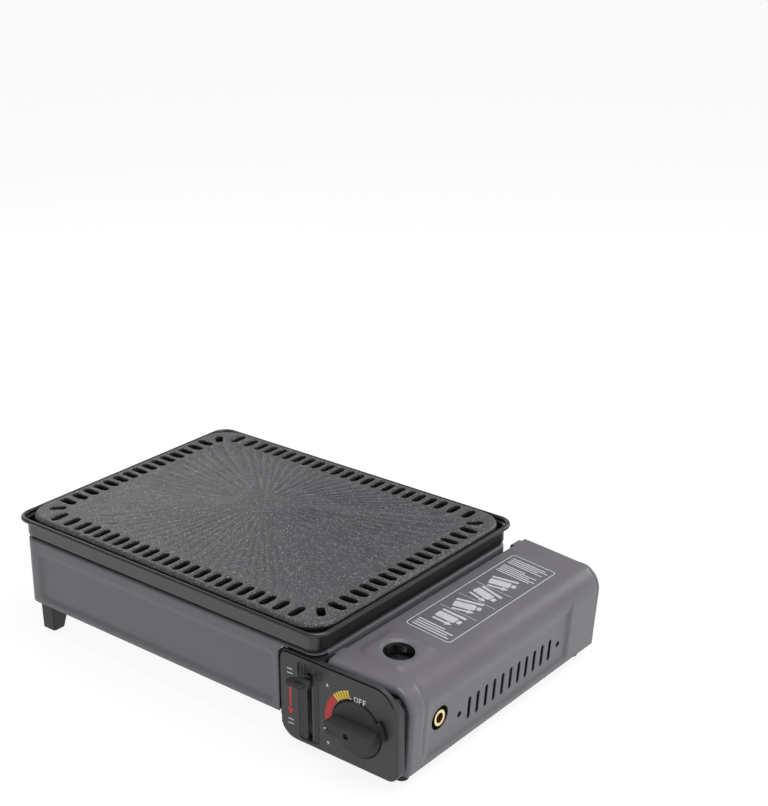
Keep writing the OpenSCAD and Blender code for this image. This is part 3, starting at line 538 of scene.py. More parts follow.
class Finishes(Enum):
    """The finishes on the grill."""

    PAINT = Finish("grey_paint", (99, 97, 102), (105, 103, 108), (0.36, 0.44), 0.0, 18.0, 1400.0, 0.1)
    PANEL = Finish("panel_plastic", (46, 46, 49), (50, 50, 53), (0.36, 0.46), 0.0, 60.0, 1800.0, 0.2)
    KNOB = Finish("knob_plastic", (31, 31, 33), (35, 35, 37), (0.34, 0.42), 0.0, 60.0, 1800.0, 0.15)
    DARK = Finish("dark_plastic", (22, 22, 24), (26, 26, 28), (0.42, 0.52), 0.0, 60.0, 1500.0, 0.2)
    RUBBER = Finish("foot_rubber", (28, 28, 29), (36, 36, 37), (0.7, 0.85), 0.0, 80.0, 1200.0, 0.3)
    ENAMEL = Finish("tray_enamel", (20, 20, 21), (24, 24, 25), (0.28, 0.36), 0.0, 25.0, 900.0, 0.05, ior=1.62)
    # the dark colour on steep faces is painted shade in the slots and along the plate's edges
    COATING = Finish(
        "stone_coating", (58, 57, 60), (67, 66, 69), (0.4, 0.52), 0.0, 40.0, 900.0, 0.3, steep_shade=(16, 16, 17),
        fleck=(146, 144, 147), fleck_scale=900.0, fleck_share=0.5, fleck_size=0.5,
    )
    ZINC = Finish("zinc_steel", (176, 178, 182), (196, 198, 202), (0.3, 0.45), 1.0, 60.0, 1200.0, 0.1, 0.2)
    STEEL = Finish("dark_steel", (44, 44, 47), (52, 52, 55), (0.4, 0.5), 0.5, 60.0, 1200.0, 0.1)
    BRIGHT = Finish("bright_steel", (205, 205, 207), (190, 190, 193), (0.15, 0.3), 1.0, 30.0, 900.0, 0.06)
    CAST = Finish("cast_aluminium", (168, 168, 170), (150, 150, 153), (0.42, 0.6), 1.0, 90.0, 700.0, 0.5)
    BRASS = Finish("turned_brass", (246, 228, 178), (238, 216, 158), (0.16, 0.26), 1.0, 120.0, 1500.0, 0.06)
    IRON = Finish("burner_iron", (46, 45, 45), (60, 58, 57), (0.6, 0.8), 0.4, 90.0, 600.0, 0.6)
    IVORY = Finish("ivory_ceramic", (232, 230, 222), (222, 219, 209), (0.2, 0.35), 0.0, 60.0, 800.0, 0.08)
    RED_PLASTIC = Finish("igniter_plastic", (150, 30, 30), (136, 26, 27), (0.3, 0.42), 0.0, 80.0, 900.0, 0.1)
    WIRE = Finish("wire_rubber", (158, 30, 32), (142, 26, 28), (0.45, 0.6), 0.0, 120.0, 900.0, 0.12)
    WHITE_INK = Finish("white_ink", (232, 232, 232), (222, 222, 223), (0.5, 0.6), 0.0, 200.0, 1500.0, 0.1)
    LABEL_INK = Finish("label_ink", (196, 196, 199), (182, 182, 186), (0.5, 0.6), 0.0, 300.0, 1500.0, 0.1)
    LABEL_BASE = Finish("label_ground", (92, 90, 96), (97, 95, 101), (0.48, 0.56), 0.0, 60.0, 1500.0, 0.1)
    RED_INK = Finish("red_ink", (226, 56, 58), (212, 48, 50), (0.5, 0.6), 0.0, 200.0, 1500.0, 0.1)
    YELLOW_INK = Finish("yellow_ink", (243, 208, 70), (236, 198, 60), (0.5, 0.6), 0.0, 200.0, 1500.0, 0.1)


def span(node: str) -> tuple[Array, Array]:
    """Lowest and highest corner of a CAD node, in millimetres."""
    low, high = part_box(node)
    return np.array(low) / MM, np.array(high) / MM


def add_piece(
    name: str,
    surface: Surface,
    finish: Finishes,
    body: str,
    slot: str,
    replaces: Sequence[str] = (),
    sharp: float = 38.0,
    thickness: float = 0.0,
) -> bpy.types.Object:
    """Make a mesh piece that rides on a body.

    Args:
        name: of the piece.
        surface: its points and faces, in millimetres.
        finish: its material.
        body: the CAD body that it rides on.
        slot: the record's material slot; not used.
        replaces: CAD nodes that it stands for.
        sharp: degrees from which an edge is shown sharp.
        thickness: of an open sheet, inwards from its face, in millimetres.
    Returns:
        The piece.
    """
    mesh = bpy.data.meshes.new(name)
    faces = [face for block in surface.faces for face in block.tolist()]
    mesh.from_pydata((surface.points * MM).tolist(), [], faces)
    build = bmesh.new()
    build.from_mesh(mesh)
    bmesh.ops.remove_doubles(build, verts=build.verts, dist=2e-7)
    bmesh.ops.dissolve_degenerate(build, edges=build.edges, dist=1e-7)
    loose = [vert for vert in build.verts if not vert.link_faces]
    bmesh.ops.delete(build, geom=loose, context="VERTS")
    if not thickness:
        bmesh.ops.recalc_face_normals(build, faces=build.faces)
    build.to_mesh(mesh)
    build.free()
    mesh.shade_smooth()
    mesh.set_sharp_from_angle(angle=math.radians(sharp))
    piece = bpy.data.objects.new(name, mesh)
    bpy.context.scene.collection.objects.link(piece)
    mesh.materials.append(finish.value.material())
    if thickness:
        wall = piece.modifiers.new("sheet", "SOLIDIFY")
        wall.thickness = thickness * MM
        wall.offset = -1.0
    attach(piece, body)
    if replaces:
        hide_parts(*replaces)
    LOG.info("%s: %d faces on %s", name, len(mesh.polygons), body)
    return piece


@dataclass(frozen=True)
class Places:
    """Main places of the stove in millimetres, read from the boxes of the CAD nodes."""

    box_low: Array
    box_high: Array
    panel_low: Array
    panel_high: Array
    lid_low: Array
    lid_high: Array
    dial: Array
    face: float
    lever: float

    @classmethod
    def read(cls) -> "Places":
        """Read the places: the dial's middle as (x, z), the panel's face as y and the lever's middle as x."""
        knob_low, knob_high = span("control_knob")
        return cls(
            *span("body_shell"),
            *span("control_panel"),
            *span("cartridge_lid"),
            dial=(knob_low + knob_high)[[0, 2]] / 2,
            face=knob_low[1] + KNOB_OUT,
            lever=span("lock_lever")[0][0] + LEVER_HALF,
        )


def snap(values: Array, marks: Sequence[float]) -> Array:
    """The values with the nearest one to each mark moved onto it."""
    moved = values.copy()
    moved[np.abs(values[:, None] - np.asarray(marks)[None]).argmin(0)] = marks
    return moved


def capsules(holes: Array, grow: float, count: int = 9) -> Array:
    """Outlines of holes with round ends.

    Args:
        holes: rows of the middle's two coordinates, half the straight length, radius and heading in degrees.
        grow: how far the outlines move out.
        count: points on a half circle.
    Returns:
        Array of holes by points by two.
    """
    turn = np.linspace(-np.pi / 2, np.pi / 2, count)
    end = np.stack([np.cos(turn), np.sin(turn)], -1)
    loops = (holes[:, 3] + grow)[:, None, None] * np.vstack([end, -end])
    loops[..., 0] += holes[:, 2, None] * np.repeat([1.0, -1.0], count)
    way = headings(holes)
    turned = np.stack([way, way[:, ::-1] * [-1.0, 1.0]], 1)
    return np.einsum("hpi,hij->hpj", loops, turned) + holes[:, None, :2]


def capsule_gap(spots: Array, holes: Array) -> Array:
    """Distance of each spot from the nearest hole's edge, negative inside a hole."""
    way = headings(holes)
    offset = spots[:, None] - holes[None, :, :2]
    run = np.clip((offset * way).sum(-1), -holes[:, 2], holes[:, 2])
    return (np.linalg.norm(offset - run[..., None] * way, axis=-1) - holes[:, 3]).min(1)


def headings(holes: Array) -> Array:
    """Direction in which each hole is long."""
    turn = np.radians(holes[:, 4])
    return np.stack([np.cos(turn), np.sin(turn)], -1)


@dataclass
class BurnerBox:
    """Pressed box: a deck with a round opening, a rounded top edge, and a field sunk into the front wall.

    The field's insets are from the left, from below, from the panel and from the deck.
    """

    at: Places
    corner: float = 12.0
    top_edge: float = 2.5
    opening: float = 90.0
    sheet: float = 1.0
    sunk: float = 2.6
    slope: float = 4.5
    step: float = 2.0
    pocket_corner: float = 11.0
    pocket_gap: float = 0.3
    field_inset: tuple[float, float, float, float] = (18.0, 4.5, 4.0, 12.0)
    field_corner: float = 7.0

    def front_field(self) -> Rounded:
        """Outline of the sunk field, as (x, z)."""
        low, high = self.at.box_low, self.at.box_high
        left, below, right, above = self.field_inset
        far = (self.at.panel_low[0] - right, high[2] - above)
        return square((low[0] + left, low[2] + below), far, self.field_corner)

    def rows(self) -> Array:
        """Rows of (inset, z) from the deck over a quarter circle and down the wall."""
        deck, skirt, r = self.at.box_high[2], self.at.box_low[2], self.top_edge
        turn = np.array([np.pi / 2, 1.2, 0.9, math.asin(1.0 - self.sheet / r), 0.3, 0.0])
        arc = np.stack([r - r * np.cos(turn), deck - r + r * np.sin(turn)], -1)
        wall = stations(skirt, deck - r, self.step)[-2::-1]
        # insets less than the corner's radius, so that the deck doesn't fold there
        inner = [[self.corner - 1.0, deck], [self.corner - 5.0, deck]]
        return np.vstack([inner, arc, np.stack([np.zeros_like(wall), wall], -1)])

    def openings(self) -> list[tuple[Array, Array]]:
        """Boxes cut out of the walls: the panel's pocket, the yoke's slot and the gas tube's passage."""
        low, high = self.at.box_low, self.at.box_high
        yoke = span("cartridge_yoke")[1]
        tube_low, tube_high = span("mixing_tube")
        run = tube_high - tube_low
        tube_y = tube_low[1] + run[1] * (tube_high[0] - high[0]) / run[0]
        wall, out = high[0] - 2.0, high[0] + 1.0
        corners = [
            ([self.at.panel_low[0] - 0.4, low[1] - 5.0, 0.0], [out, self.at.face + 14.4, high[2] - 1.0]),
            ([wall, yoke[1] - 22.0, 63.0], [out, yoke[1] + 1.0, yoke[2] + 1.0]),
            ([wall, tube_y - 15.0, 33.5], [out, tube_y + 15.0, 58.5]),
        ]
        return [(np.array(a), np.array(b)) for a, b in corners]

    def build(self) -> Surface:
        """Rows round the outline; each point moves in by its row's inset and the field's soft slope."""
        low, high = self.at.box_low, self.at.box_high
        loop, normal = square(tuple(low[:2]), tuple(high[:2]), self.corner).loop(self.step)
        cuts = self.openings()
        pocket, *side = cuts
        front, right = normal[:, 1] < -0.999, normal[:, 0] > 0.999
        loop[front, 0] = snap(loop[front, 0], [pocket[0][0]])
        loop[right, 1] = snap(loop[right, 1], [pocket[1][1], *(corner[1] for cut in side for corner in cut)])
        rows = self.rows()
        wall_rows = rows[8:-1, 1]  # below the deck's two rows and the edge's six
        wall_rows[:] = snap(wall_rows, [corner[2] for cut in side for corner in cut])
        spots = np.stack(np.broadcast_arrays(loop[None, :, 0], rows[:, None, 1]), -1)
        field_in = self.front_field().depth(spots.reshape(-1, 2)).reshape(spots.shape[:2])
        inward = rows[:, :1] + self.sunk * smooth(-0.5, self.slope, field_in) * front
        flat = loop[None] - inward[..., None] * normal[None]
        wall = np.concatenate([flat, np.broadcast_to(rows[:, None, 1:], flat.shape[:2] + (1,))], -1)
        centre = np.array([*(low + high)[:2] / 2, high[2]])
        around = (loop - centre[:2]) / np.linalg.norm(loop - centre[:2], axis=1, keepdims=True)
        ring = centre + self.opening * np.column_stack([around, np.zeros(len(loop))])
        deck = [ring * (1 - share) + wall[0] * share for share in (0.0, 0.35, 0.7)]
        points = np.concatenate([np.stack(deck), wall]).reshape(-1, 3)
        faces = grid_faces(len(rows) + 3, len(loop), False, True)
        middle = points[faces].mean(1)
        gone = np.any([np.all((middle > a) & (middle < b), axis=1) for a, b in cuts], axis=0)
        points, spared = self.round_pocket(points, faces)
        return Surface(points, [faces[~(gone & ~spared)]])

    def round_pocket(self, points: Array, faces: Array) -> tuple[Array, Array]:
        """Let the pocket follow the round upper left corner of the panel.

        Args:
            points: of the box.
            faces: between them.
        Returns:
            The points with those near the arc moved onto it, and which faces lie outside it.
        """
        radius, gap = self.pocket_corner, self.pocket_gap
        centre = np.array([self.at.panel_low[0], self.at.panel_high[2]]) + [radius, -radius]
        front = points[:, 1] < self.at.box_low[1] + 1.5
        offset = points[:, [0, 2]] - centre
        reach = np.linalg.norm(offset, axis=1)
        held = front & (offset[:, 0] < 0.5) & (offset[:, 1] > -0.5)
        near = held & (np.abs(reach - radius - gap) < 1.1) & (points[:, 2] < self.at.box_high[2] - 1.5)
        moved = points.copy()
        moved[near[:, None] & np.array([True, False, True])] = (
            centre + offset[near] / reach[near, None] * (radius + gap)
        ).ravel()
        middle = moved[faces].mean(1)
        away = middle[:, [0, 2]] - centre
        outside = (away[:, 0] < 0.5) & (away[:, 1] > -0.5) & (np.linalg.norm(away, axis=1) > radius + 0.2)
        return moved, outside & (middle[:, 1] < self.at.box_low[1] + 1.5)

    def dress(self) -> None:
        """Add the box."""
        add_piece(
            "burner_box_shell", self.build(), Finishes.PAINT, "base", "body_paint", ["body_shell"],
            thickness=self.sheet,
        )


@dataclass
class CartridgeLid:
    """Lid over the bay: a sloping top, a round shoulder, a leaning side, and ends that turn in.

    Its flat drawing has the run over the section, from the hinge across the top and down the side, and y.
    Places along the lid are from its front end. The notch is at the hinge's rear end, and the reach is the
    front edge's at the hinge, at the shoulder's start and at its end.
    """

    at: Places
    tilt: float = math.radians(5.0)
    shoulder: float = 22.0
    knuckle: float = 3.8
    knuckle_length: float = 12.0
    sheet: float = 0.8
    roll: float = 4.0
    top_roll: float = 2.5
    lap: float = 1.2
    hole_at: float = 41.0
    top_hole: float = 13.5
    hose_hole: float = 11.0
    vents: int = 11
    vent_at: tuple[float, float] = (143.5, 35.0)
    vent_pitch: float = 12.1
    vent_height: float = 22.0
    vent_width: float = 4.4
    dot: tuple[float, float] = (74.2, 2.9)
    field_depth: float = 2.4
    pad: float = 2.6
    rim: float = 1.6
    beads: tuple[tuple[float, float], ...] = ((16.5, 22.0), (274.0, 52.0))
    bead: float = 0.7
    crease: float = 0.5
    dimple: float = 1.0
    notch: tuple[float, float] = (6.0, 4.2)
    reach: tuple[float, float, float] = (8.6, 2.0, 0.0)

    def __post_init__(self) -> None:
        """Work out the section from the lid's box and the panel's right side."""
        low, high = self.at.lid_low, self.at.lid_high
        sine, cosine = math.sin(self.tilt), math.cos(self.tilt)
        self.start = np.array([low[0] + self.knuckle * (1 + sine), high[2] - self.knuckle * (1 - cosine)])
        across, down = self.at.panel_high[0] - self.start[0], self.start[1] - low[2]
        self.width = across * cosine + down * sine
        self.flat = self.width - self.shoulder
        self.bend = self.shoulder * math.pi / 2
        self.length = self.flat + self.bend + down * cosine - across * sine - self.shoulder

    def top_run(self, x: float) -> float:
        """Run at a place on the top that lies x left of the stove's right side."""
        return (self.at.panel_high[0] + x - self.start[0]) / math.cos(self.tilt)

    def side_run(self, z: float) -> float:
        """Run at a height on the side."""
        down = (self.start[1] - self.width * math.sin(self.tilt) - z) / math.cos(self.tilt)
        return self.flat + self.bend + down - self.shoulder

    def place(self, flat: Array, height: Array) -> Array:
        """Points in space: along the top, round a quarter circle, down the side, and out along the normal.

        Args:
            flat: rows of run and y.
            height: distance out of the sheet's face.
        Returns:
            Points in millimetres.
        """
        run, y = flat[:, 0], flat[:, 1] - self.lip(flat)
        turn, reach = np.clip((run - self.flat) / self.shoulder, 0.0, np.pi / 2), self.shoulder + height
        over = np.minimum(run, self.flat) + reach * np.sin(turn)
        down = self.shoulder - reach * np.cos(turn) + np.maximum(run - self.flat - self.bend, 0.0)
        sine, cosine = math.sin(self.tilt), math.cos(self.tilt)
        x = self.start[0] + over * cosine - down * sine
        return np.stack([x, y, self.start[1] - over * sine - down * cosine], -1)

    def lip(self, flat: Array) -> Array:
        """Reach of the front edge towards the panel's ridge: most at the hinge, none on the side."""
        reach = np.interp(flat[:, 0], [0.0, self.flat, self.flat + self.bend], self.reach)
        return reach * smooth(18.0, 3.0, flat[:, 1] - self.at.lid_low[1])

    def holes(self) -> Array:
        """Cap hole, hose hole, two dots and the air slots, as rows for the holes' functions."""
        front = self.at.lid_low[1]
        middle, vent = front + self.vent_at[0], self.side_run(self.vent_at[1])
        ys = middle + (np.arange(self.vents) - (self.vents - 1) / 2) * self.vent_pitch
        half, radius = (self.vent_height - self.vent_width) / 2, self.vent_width / 2
        top = (self.at.dial[0] - self.start[0]) / math.cos(self.tilt)
        rows = [[top, front + self.hole_at, 0.0, self.top_hole]]
        rows += [[self.side_run(self.at.dial[1]), front + self.hole_at, 0.0, self.hose_hole]]
        rows += [[vent, middle + s * self.dot[0], 0.0, self.dot[1]] for s in (-1, 1)]
        rows += [[vent, y, half, radius] for y in ys]
        return np.column_stack([np.array(rows), np.zeros(len(rows))])

    def heights(self, flat: Array) -> Array:
        """Height of the sheet's face: turned ends, sunk field, pad, hole's rim, beads, crease and dimple."""
        run, y = flat[:, 0], flat[:, 1] - self.at.lid_low[1]
        end = np.minimum(y, self.at.lid_high[1] - self.at.lid_low[1] - y)
        height = -fillet(end, self.roll + self.top_roll * smooth(self.flat + 8.0, self.flat - 4.0, run))
        upper, lower = (run - self.flat - self.bend + 8.0) / 5.0, self.side_run(14.6) - run
        into = np.stack([upper, lower, (y - 21.0) / 2.5, 232.0 - y]).min(0)
        height -= self.field_depth * smooth(0.0, 3.2, into)
        pad = square((self.top_run(-68.0), 17.0), (self.top_run(-19.0), 67.0), 9.0)
        height += self.pad * smooth(0.0, 4.5, pad.depth(np.stack([run, y], -1)))
        hole = self.holes()[0]
        height -= self.rim * smooth(3.6, 0.0, np.hypot(run - hole[0], flat[:, 1] - hole[1]) - hole[3])
        on_side = smooth(self.flat + 6.0, self.flat + 14.0, run)
        for bead_y, z in self.beads:
            below = smooth(self.side_run(z), self.side_run(z + 6.0), run)
            height -= self.bead * bump(y - bead_y, 5.0) * on_side * below
        height -= self.crease * bump(run - self.flat - 1.6, 2.6) * smooth(26.0, 32.0, y)
        return height - self.dimple * smooth(3.2, 0.5, np.hypot(run - self.top_run(-49.0), y - 7.2))

    def drawing(self) -> Sheet:
        """Flat drawing with its holes and the notch."""
        front, back = self.at.lid_low[1], self.at.lid_high[1]
        holes = self.holes()
        far, deep = self.notch
        ends = np.array([0.12, 0.4, 0.9, 1.6, 2.5, 3.6, 4.9])
        ys = stations(front + 7.0, back - 6.0, 3.5, front + np.array([16.5, 230.4, 274.0]), 1.0)
        ys = np.concatenate([[front], front + ends, ys, back - ends[::-1], [back]])
        side = self.flat + self.bend
        runs = np.concatenate([
            stations(self.lap, self.flat, 3.0),
            stations(self.flat, side, 2.4)[1:],
            stations(side, self.length, 3.0, [self.side_run(16.2)], 1.0)[1:],
        ])
        runs[np.abs(runs - far).argmin()] = far
        outer, inner = runs[runs >= far], ys[(ys > front) & (ys < back - deep)]
        outline = np.vstack([
            pairs(runs[:-1], front),
            pairs(self.length, ys[:-1]),
            pairs(outer[:0:-1], back),
            [[far, back], [far, back - deep], [self.lap, back - deep]],
            pairs(self.lap, inner[::-1]),
        ])
        loops = [outline, *capsules(holes[:2], 0.0, 24), *capsules(holes[2:], 0.0, 7)]
        lines = [loop for grow in (0.6, 1.4, 2.4, 3.8) for loop in capsules(holes[:1], grow, 24)]
        spots = lattice(runs[1:-1], ys[1:-1])
        spots = spots[(capsule_gap(spots, holes) > 1.2) & (capsule_gap(spots, holes[:1]) > 5.0)]
        spots = spots[~((spots[:, 0] < far + 0.5) & (back - spots[:, 1] < deep + 0.8))]

        def keep(mid: Array) -> Array:
            """Whether triangles lie outside the holes and the notch."""
            return (capsule_gap(mid, holes) > 0) & ~((mid[:, 0] < far) & (back - mid[:, 1] < deep))

        return Sheet(loops, lines, spots, keep)

    def build(self) -> Surface:
        """Sheet bent over the section, with knuckles round the hinge pins."""
        sheet = self.drawing()
        top = self.heights(sheet.points)
        surface = sheet.solid(top, top - self.sheet, self.place)
        pin_low, pin_high = span("hinge_pins")
        bore, r, long = 1.32, self.knuckle, self.knuckle_length
        profile = [(bore, 0), (r - 0.3, 0), (r, 0.3), (r, long - 0.3), (r - 0.3, long), (bore, long)]
        x, z = (pin_low + pin_high)[[0, 2]] / 2
        for y in (pin_low[1] + 2.0, pin_high[1] - 2.0 - long):
            surface = surface + lathe(profile, 32, True).laid([x, y, z], (1, 1, -1))
        return surface

    def dress(self) -> None:
        """Add the lid and its label."""
        sheet = self.build()
        add_piece("cartridge_lid_sheet", sheet, Finishes.PAINT, "lid", "body_paint", ["cartridge_lid"], 40.0)
        LidLabel(self).dress()


@dataclass
class LidLabel:
    """Printed field on the lid with plain pictures: cartridges, arrows and ruled lines, and no words."""

    lid: CartridgeLid
    left: float = -66.5
    right: float = -19.5
    front: float = 80.5
    back: float = 242.5
    line: float = 0.9
    margin: float = 4.0
    ink: float = 0.05

    def spot(self, loop: Array) -> Array:
        """A loop of (x from the left edge, y from the front edge) on the lid's flat drawing."""
        run = self.lid.top_run(self.left) + loop[:, 0]
        return np.stack([run, self.lid.at.lid_low[1] + self.front + loop[:, 1]], -1)

    def bar(self, x0: float, y0: float, x1: float, y1: float, radius: float = 0.2) -> Array:
        """Rounded bar between two corners."""
        return self.spot(bar_loop((x0, y0), (x1, y1), radius))

    def ring(self, x0: float, y0: float, x1: float, y1: float, radius: float, line: float) -> list[Array]:
        """Outline of a rounded rectangle, as an outer and an inner loop."""
        shape = square((x0, y0), (x1, y1), radius)
        return [self.spot(shape.loop(3.0, inset, 6)[0]) for inset in (0.0, line)]

    def picture(self, y: float, tilt: float) -> list[Array]:
        """A cartridge with a collar between an arrow and a bar, turned by some degrees about its middle."""
        arrow = [[-12, -9.5], [2, -9.5], [2, -11.5], [8, -8], [2, -4.9], [2, -7], [-12, -7]]
        shapes = [
            bar_loop((-13.0, -4.5), (7.0, 4.5), 1.5),
            bar_loop((8.0, -2.6), (12.0, 2.6), 0.6),
            np.array(arrow, float),
            bar_loop((-13.0, 6.5), (12.0, 9.5), 0.8),
        ]
        turn = math.radians(tilt)
        turned = np.array([[math.cos(turn), math.sin(turn)], [-math.sin(turn), math.cos(turn)]])
        return [self.spot(s @ turned + [23.5, y]) for s in shapes]

    def rules(
        self, start: float, pitch: float, pen: float, length: float, shares: Sequence[float]
    ) -> list[Array]:
        """Ruled lines in place of print.

        Args:
            start: where the first one lies, from the front edge.
            pitch: from one to the next.
            pen: their width.
            length: of a full line.
            shares: of the full line, for each.
        Returns:
            Their outlines.
        """
        x = self.margin
        ys = start + pitch * np.arange(len(shares))
        return [self.bar(x, y, x + length * share, y + pen) for y, share in zip(ys, shares)]

    def loops(self) -> list[Array]:
        """Everything in light ink: the frame, dividers, four pictures and ruled lines at both ends."""
        wide, long = self.right - self.left, self.back - self.front
        made = self.ring(0.0, 0.0, wide, long, 3.5, self.line)
        made += self.rules(4.0, 3.4, 1.6, 38.0, (1.0, 0.9, 1.0, 0.72))
        pitch = 26.5
        for k, tilt in enumerate((0.0, 18.0, -12.0, 15.0)):
            made += self.picture(32.0 + pitch * k, tilt)
        ys = [44.8 + pitch * k for k in range(3)]
        made += [self.bar(self.margin, y, wide - self.margin, y + 0.6) for y in ys]
        made += self.rules(128.0, 3.0, 1.4, 39.0, (0.9, 1.0, 0.8, 0.95, 0.6))
        return made + self.rules(146.0, 3.0, 1.4, 39.0, (0.95, 0.8, 1.0, 0.9))

    def above(self, flat: Array, height: Array) -> Array:
        """Places the ink on top of the ground."""
        return self.lid.place(flat, height + self.ink)

    def dress(self) -> None:
        """Add the dark ground and the light ink."""
        wide, long = self.right - self.left, self.back - self.front
        ground = thin_print([self.bar(0.2, 0.2, wide - 0.2, long - 0.2, 3.4)], self.lid.place, self.ink)
        ink = thin_print(self.loops(), self.above, self.ink)
        add_piece("lid_label_ground", ground, Finishes.LABEL_BASE, "lid", "body_paint")
        add_piece("lid_label_ink", ink, Finishes.LABEL_INK, "lid", "white_plastic")


@dataclass
class ControlPanel:
    """Moulded panel: a ridge and a groove along the top and left, ribs at the lever, and a round well."""

    at: Places
    radii: tuple[float, float, float, float] = (22.0, 11.0, 18.0, 10.0)
    wall: float = 2.4
    face: float = 4.6
    deep: float = 14.0
    sunk: float = 1.0
    groove: float = 3.2
    lower: float = 1.5
    well: float = 25.3
    well_deep: float = 4.0
    slot: tuple[float, float] = (13.97, 78.03)
    slot_half: float = 2.5
    edge: float = 1.0
    hole: float = 5.0

    def outline(self) -> Rounded:
        """Outline of the panel, as (x, z)."""
        low, high = self.at.panel_low, self.at.panel_high
        return Rounded((low[0], low[2]), (high[0], high[2] - self.lower), self.radii)

    def bezel(self) -> Rounded:
        """Outline whose depth is measured from the top and the sides, and less from the left one."""
        low, high = self.at.panel_low, self.at.panel_high
        return Rounded((low[0] - 1.3, low[2] - 9.0), (high[0], high[2] - self.lower), self.radii)

    def lever_slot(self) -> Rounded:
        """Outline of the lever's slot."""
        lever, half, (low, high) = self.at.lever, self.slot_half, self.slot
        return square((lever - half, low), (lever + half, high), 0.8)

    def channel(self) -> Rounded:
        """Outline of the sunk channel round the lever's slot."""
        low, high = self.at.panel_low, self.at.panel_high
        return square((self.at.lever - 11.5, low[2] + 3.5), (self.at.lever + 9.8, high[2] - 8.5), 3.0)

    def front(self, flat: Array) -> Array:
        """Height of the face: round edge, ridge, groove, border, sunk channel with ribs, divider and well."""
        band, within = self.bezel().depth(flat), self.outline().depth(flat)
        top, right = self.at.panel_high[2], self.at.panel_high[0] - flat[:, 0]
        height = -np.maximum(fillet(within, self.edge), fillet(right, 2.6))
        upper = np.maximum(smooth(top - 20.0, top - 9.0, flat[:, 1]), smooth(90.0, 100.0, right))
        groove = self.groove * smooth(1.0, 1.6, band) - (self.groove - self.sunk) * smooth(2.8, 3.4, band)
        height -= upper * groove + (1.0 - upper) * self.sunk
        sunk = self.channel().depth(flat)
        height -= 1.3 * smooth(-0.2, 1.2, sunk)
        x = flat[:, 0] - self.at.lever
        ribs = bump(x + 8.2, 2.4) + bump(x + 4.8, 2.2) + bump(x - 5.4, 3.2)
        height += 1.0 * ribs * smooth(1.2, 3.0, sunk)
        height -= 0.9 * bump(x - 11.0, 1.8) * smooth(8.5, 10.0, band) * smooth(1.5, 3.0, within)
        reach = np.linalg.norm(flat - self.at.dial, axis=1)
        height -= 0.5 * smooth(self.well + 0.6, self.well, reach)
        return np.where(reach < self.well - 0.02, -self.well_deep, height)

    def back(self, flat: Array) -> Array:
        """Height of the rear skin: outer wall, thin face, the well's floor and a rib round the slot."""
        top = self.at.panel_high[2]
        shallow = 4.0 + 6.5 * smooth(top - 6.0, top - 22.0, flat[:, 1])
        wall = np.where(flat[:, 0] > self.at.lever + 12.0, shallow, self.deep)
        height = np.where(self.outline().depth(flat) < self.wall - 0.02, -wall, -self.face)
        reach = np.linalg.norm(flat - self.at.dial, axis=1)
        height = np.where(reach < self.well + 2.2, np.minimum(height, -self.well_deep - 1.8), height)
        return np.where(self.lever_slot().depth(flat) > -1.62, np.minimum(height, -12.0), height)

    def drawing(self) -> Sheet:
        """Flat drawing with the lever's slot, the spindle's hole, and lines along each change of height."""
        outline, slot, channel = self.outline(), self.lever_slot(), self.channel()
        low, high, dial, lever = self.at.panel_low, self.at.panel_high, self.at.dial, self.at.lever
        loops = [outline.loop(2.5)[0], slot.loop(3.0, arc=4)[0], circle(dial, self.hole, 32)]
        insets = (0.15, 0.5, self.edge, self.wall - 0.05, self.wall)
        lines = [outline.loop(2.5, inset)[0] for inset in insets]
        lines += [circle(dial, self.well + k, 72) for k in (-0.05, 0.0, 0.3, 0.6, 2.17, 2.22)]
        lines += [channel.loop(3.0, inset, 5)[0] for inset in (-0.2, 0.3, 0.7, 1.2)]
        lines += [slot.loop(3.0, inset, 4)[0] for inset in (-0.5, -1.6, -1.65)]
        xs = stations(low[0] + 4, high[0] - 4, 2.5, lever + np.array([-8.2, -4.8, 5.4, 11.0]), 0.6)
        spots = lattice(xs, stations(low[2] + 4, high[2] - 4, 2.5))
        borders = [self.bezel().loop(2.5, inset)[0] for inset in (1.0, 1.3, 1.6, 2.2, 2.8, 3.1, 3.4)]
        for border in borders:
            held = outline.depth(border) > 0.2
            start = int(np.nonzero(held & ~np.roll(held, 1))[0][0])
            lines.append(np.roll(border, -start, 0)[np.roll(held, -start)])
        reach = np.linalg.norm(spots - dial, axis=1)
        clear = np.linalg.norm(spots[:, None] - np.vstack(borders)[None], axis=-1).min(1) > 1.3
        clear &= (np.abs(reach - self.well - 1.0) > 2.2) & (reach > self.hole + 1.0)
        clear &= outline.depth(spots) > 2.5
        clear &= (slot.depth(spots) < -2.1) & (np.abs(channel.depth(spots) - 0.5) > 1.0)

        def keep(mid: Array) -> Array:
            """Whether triangles lie inside the outline and outside the slot and the hole."""
            outside = (slot.depth(mid) < 0) & (np.linalg.norm(mid - dial, axis=1) > self.hole - 0.02)
            return (outline.depth(mid) > 0) & outside

        return Sheet(loops, lines, spots[clear], keep)

    def build(self) -> Surface:
        """Closed solid between the face and the rear skin, with pillars for the screws."""
        sheet = self.drawing()
        flat = sheet.points
        surface = sheet.solid(self.front(flat), self.back(flat), facing_front(self.at.face))
        pillar = lathe([(1.4, 0), (3.6, 0), (3.6, 14.0), (1.4, 14.0)], 24, True)
        screw_low, screw_high = span("panel_screws")
        for x in (screw_low[0] + 3, screw_high[0] - 3):
            for z in (screw_low[2] + 3, screw_high[2] - 3):
                surface = surface + pillar.laid([x, self.at.face + 16.9, z], (1, -1, 1))
        return surface

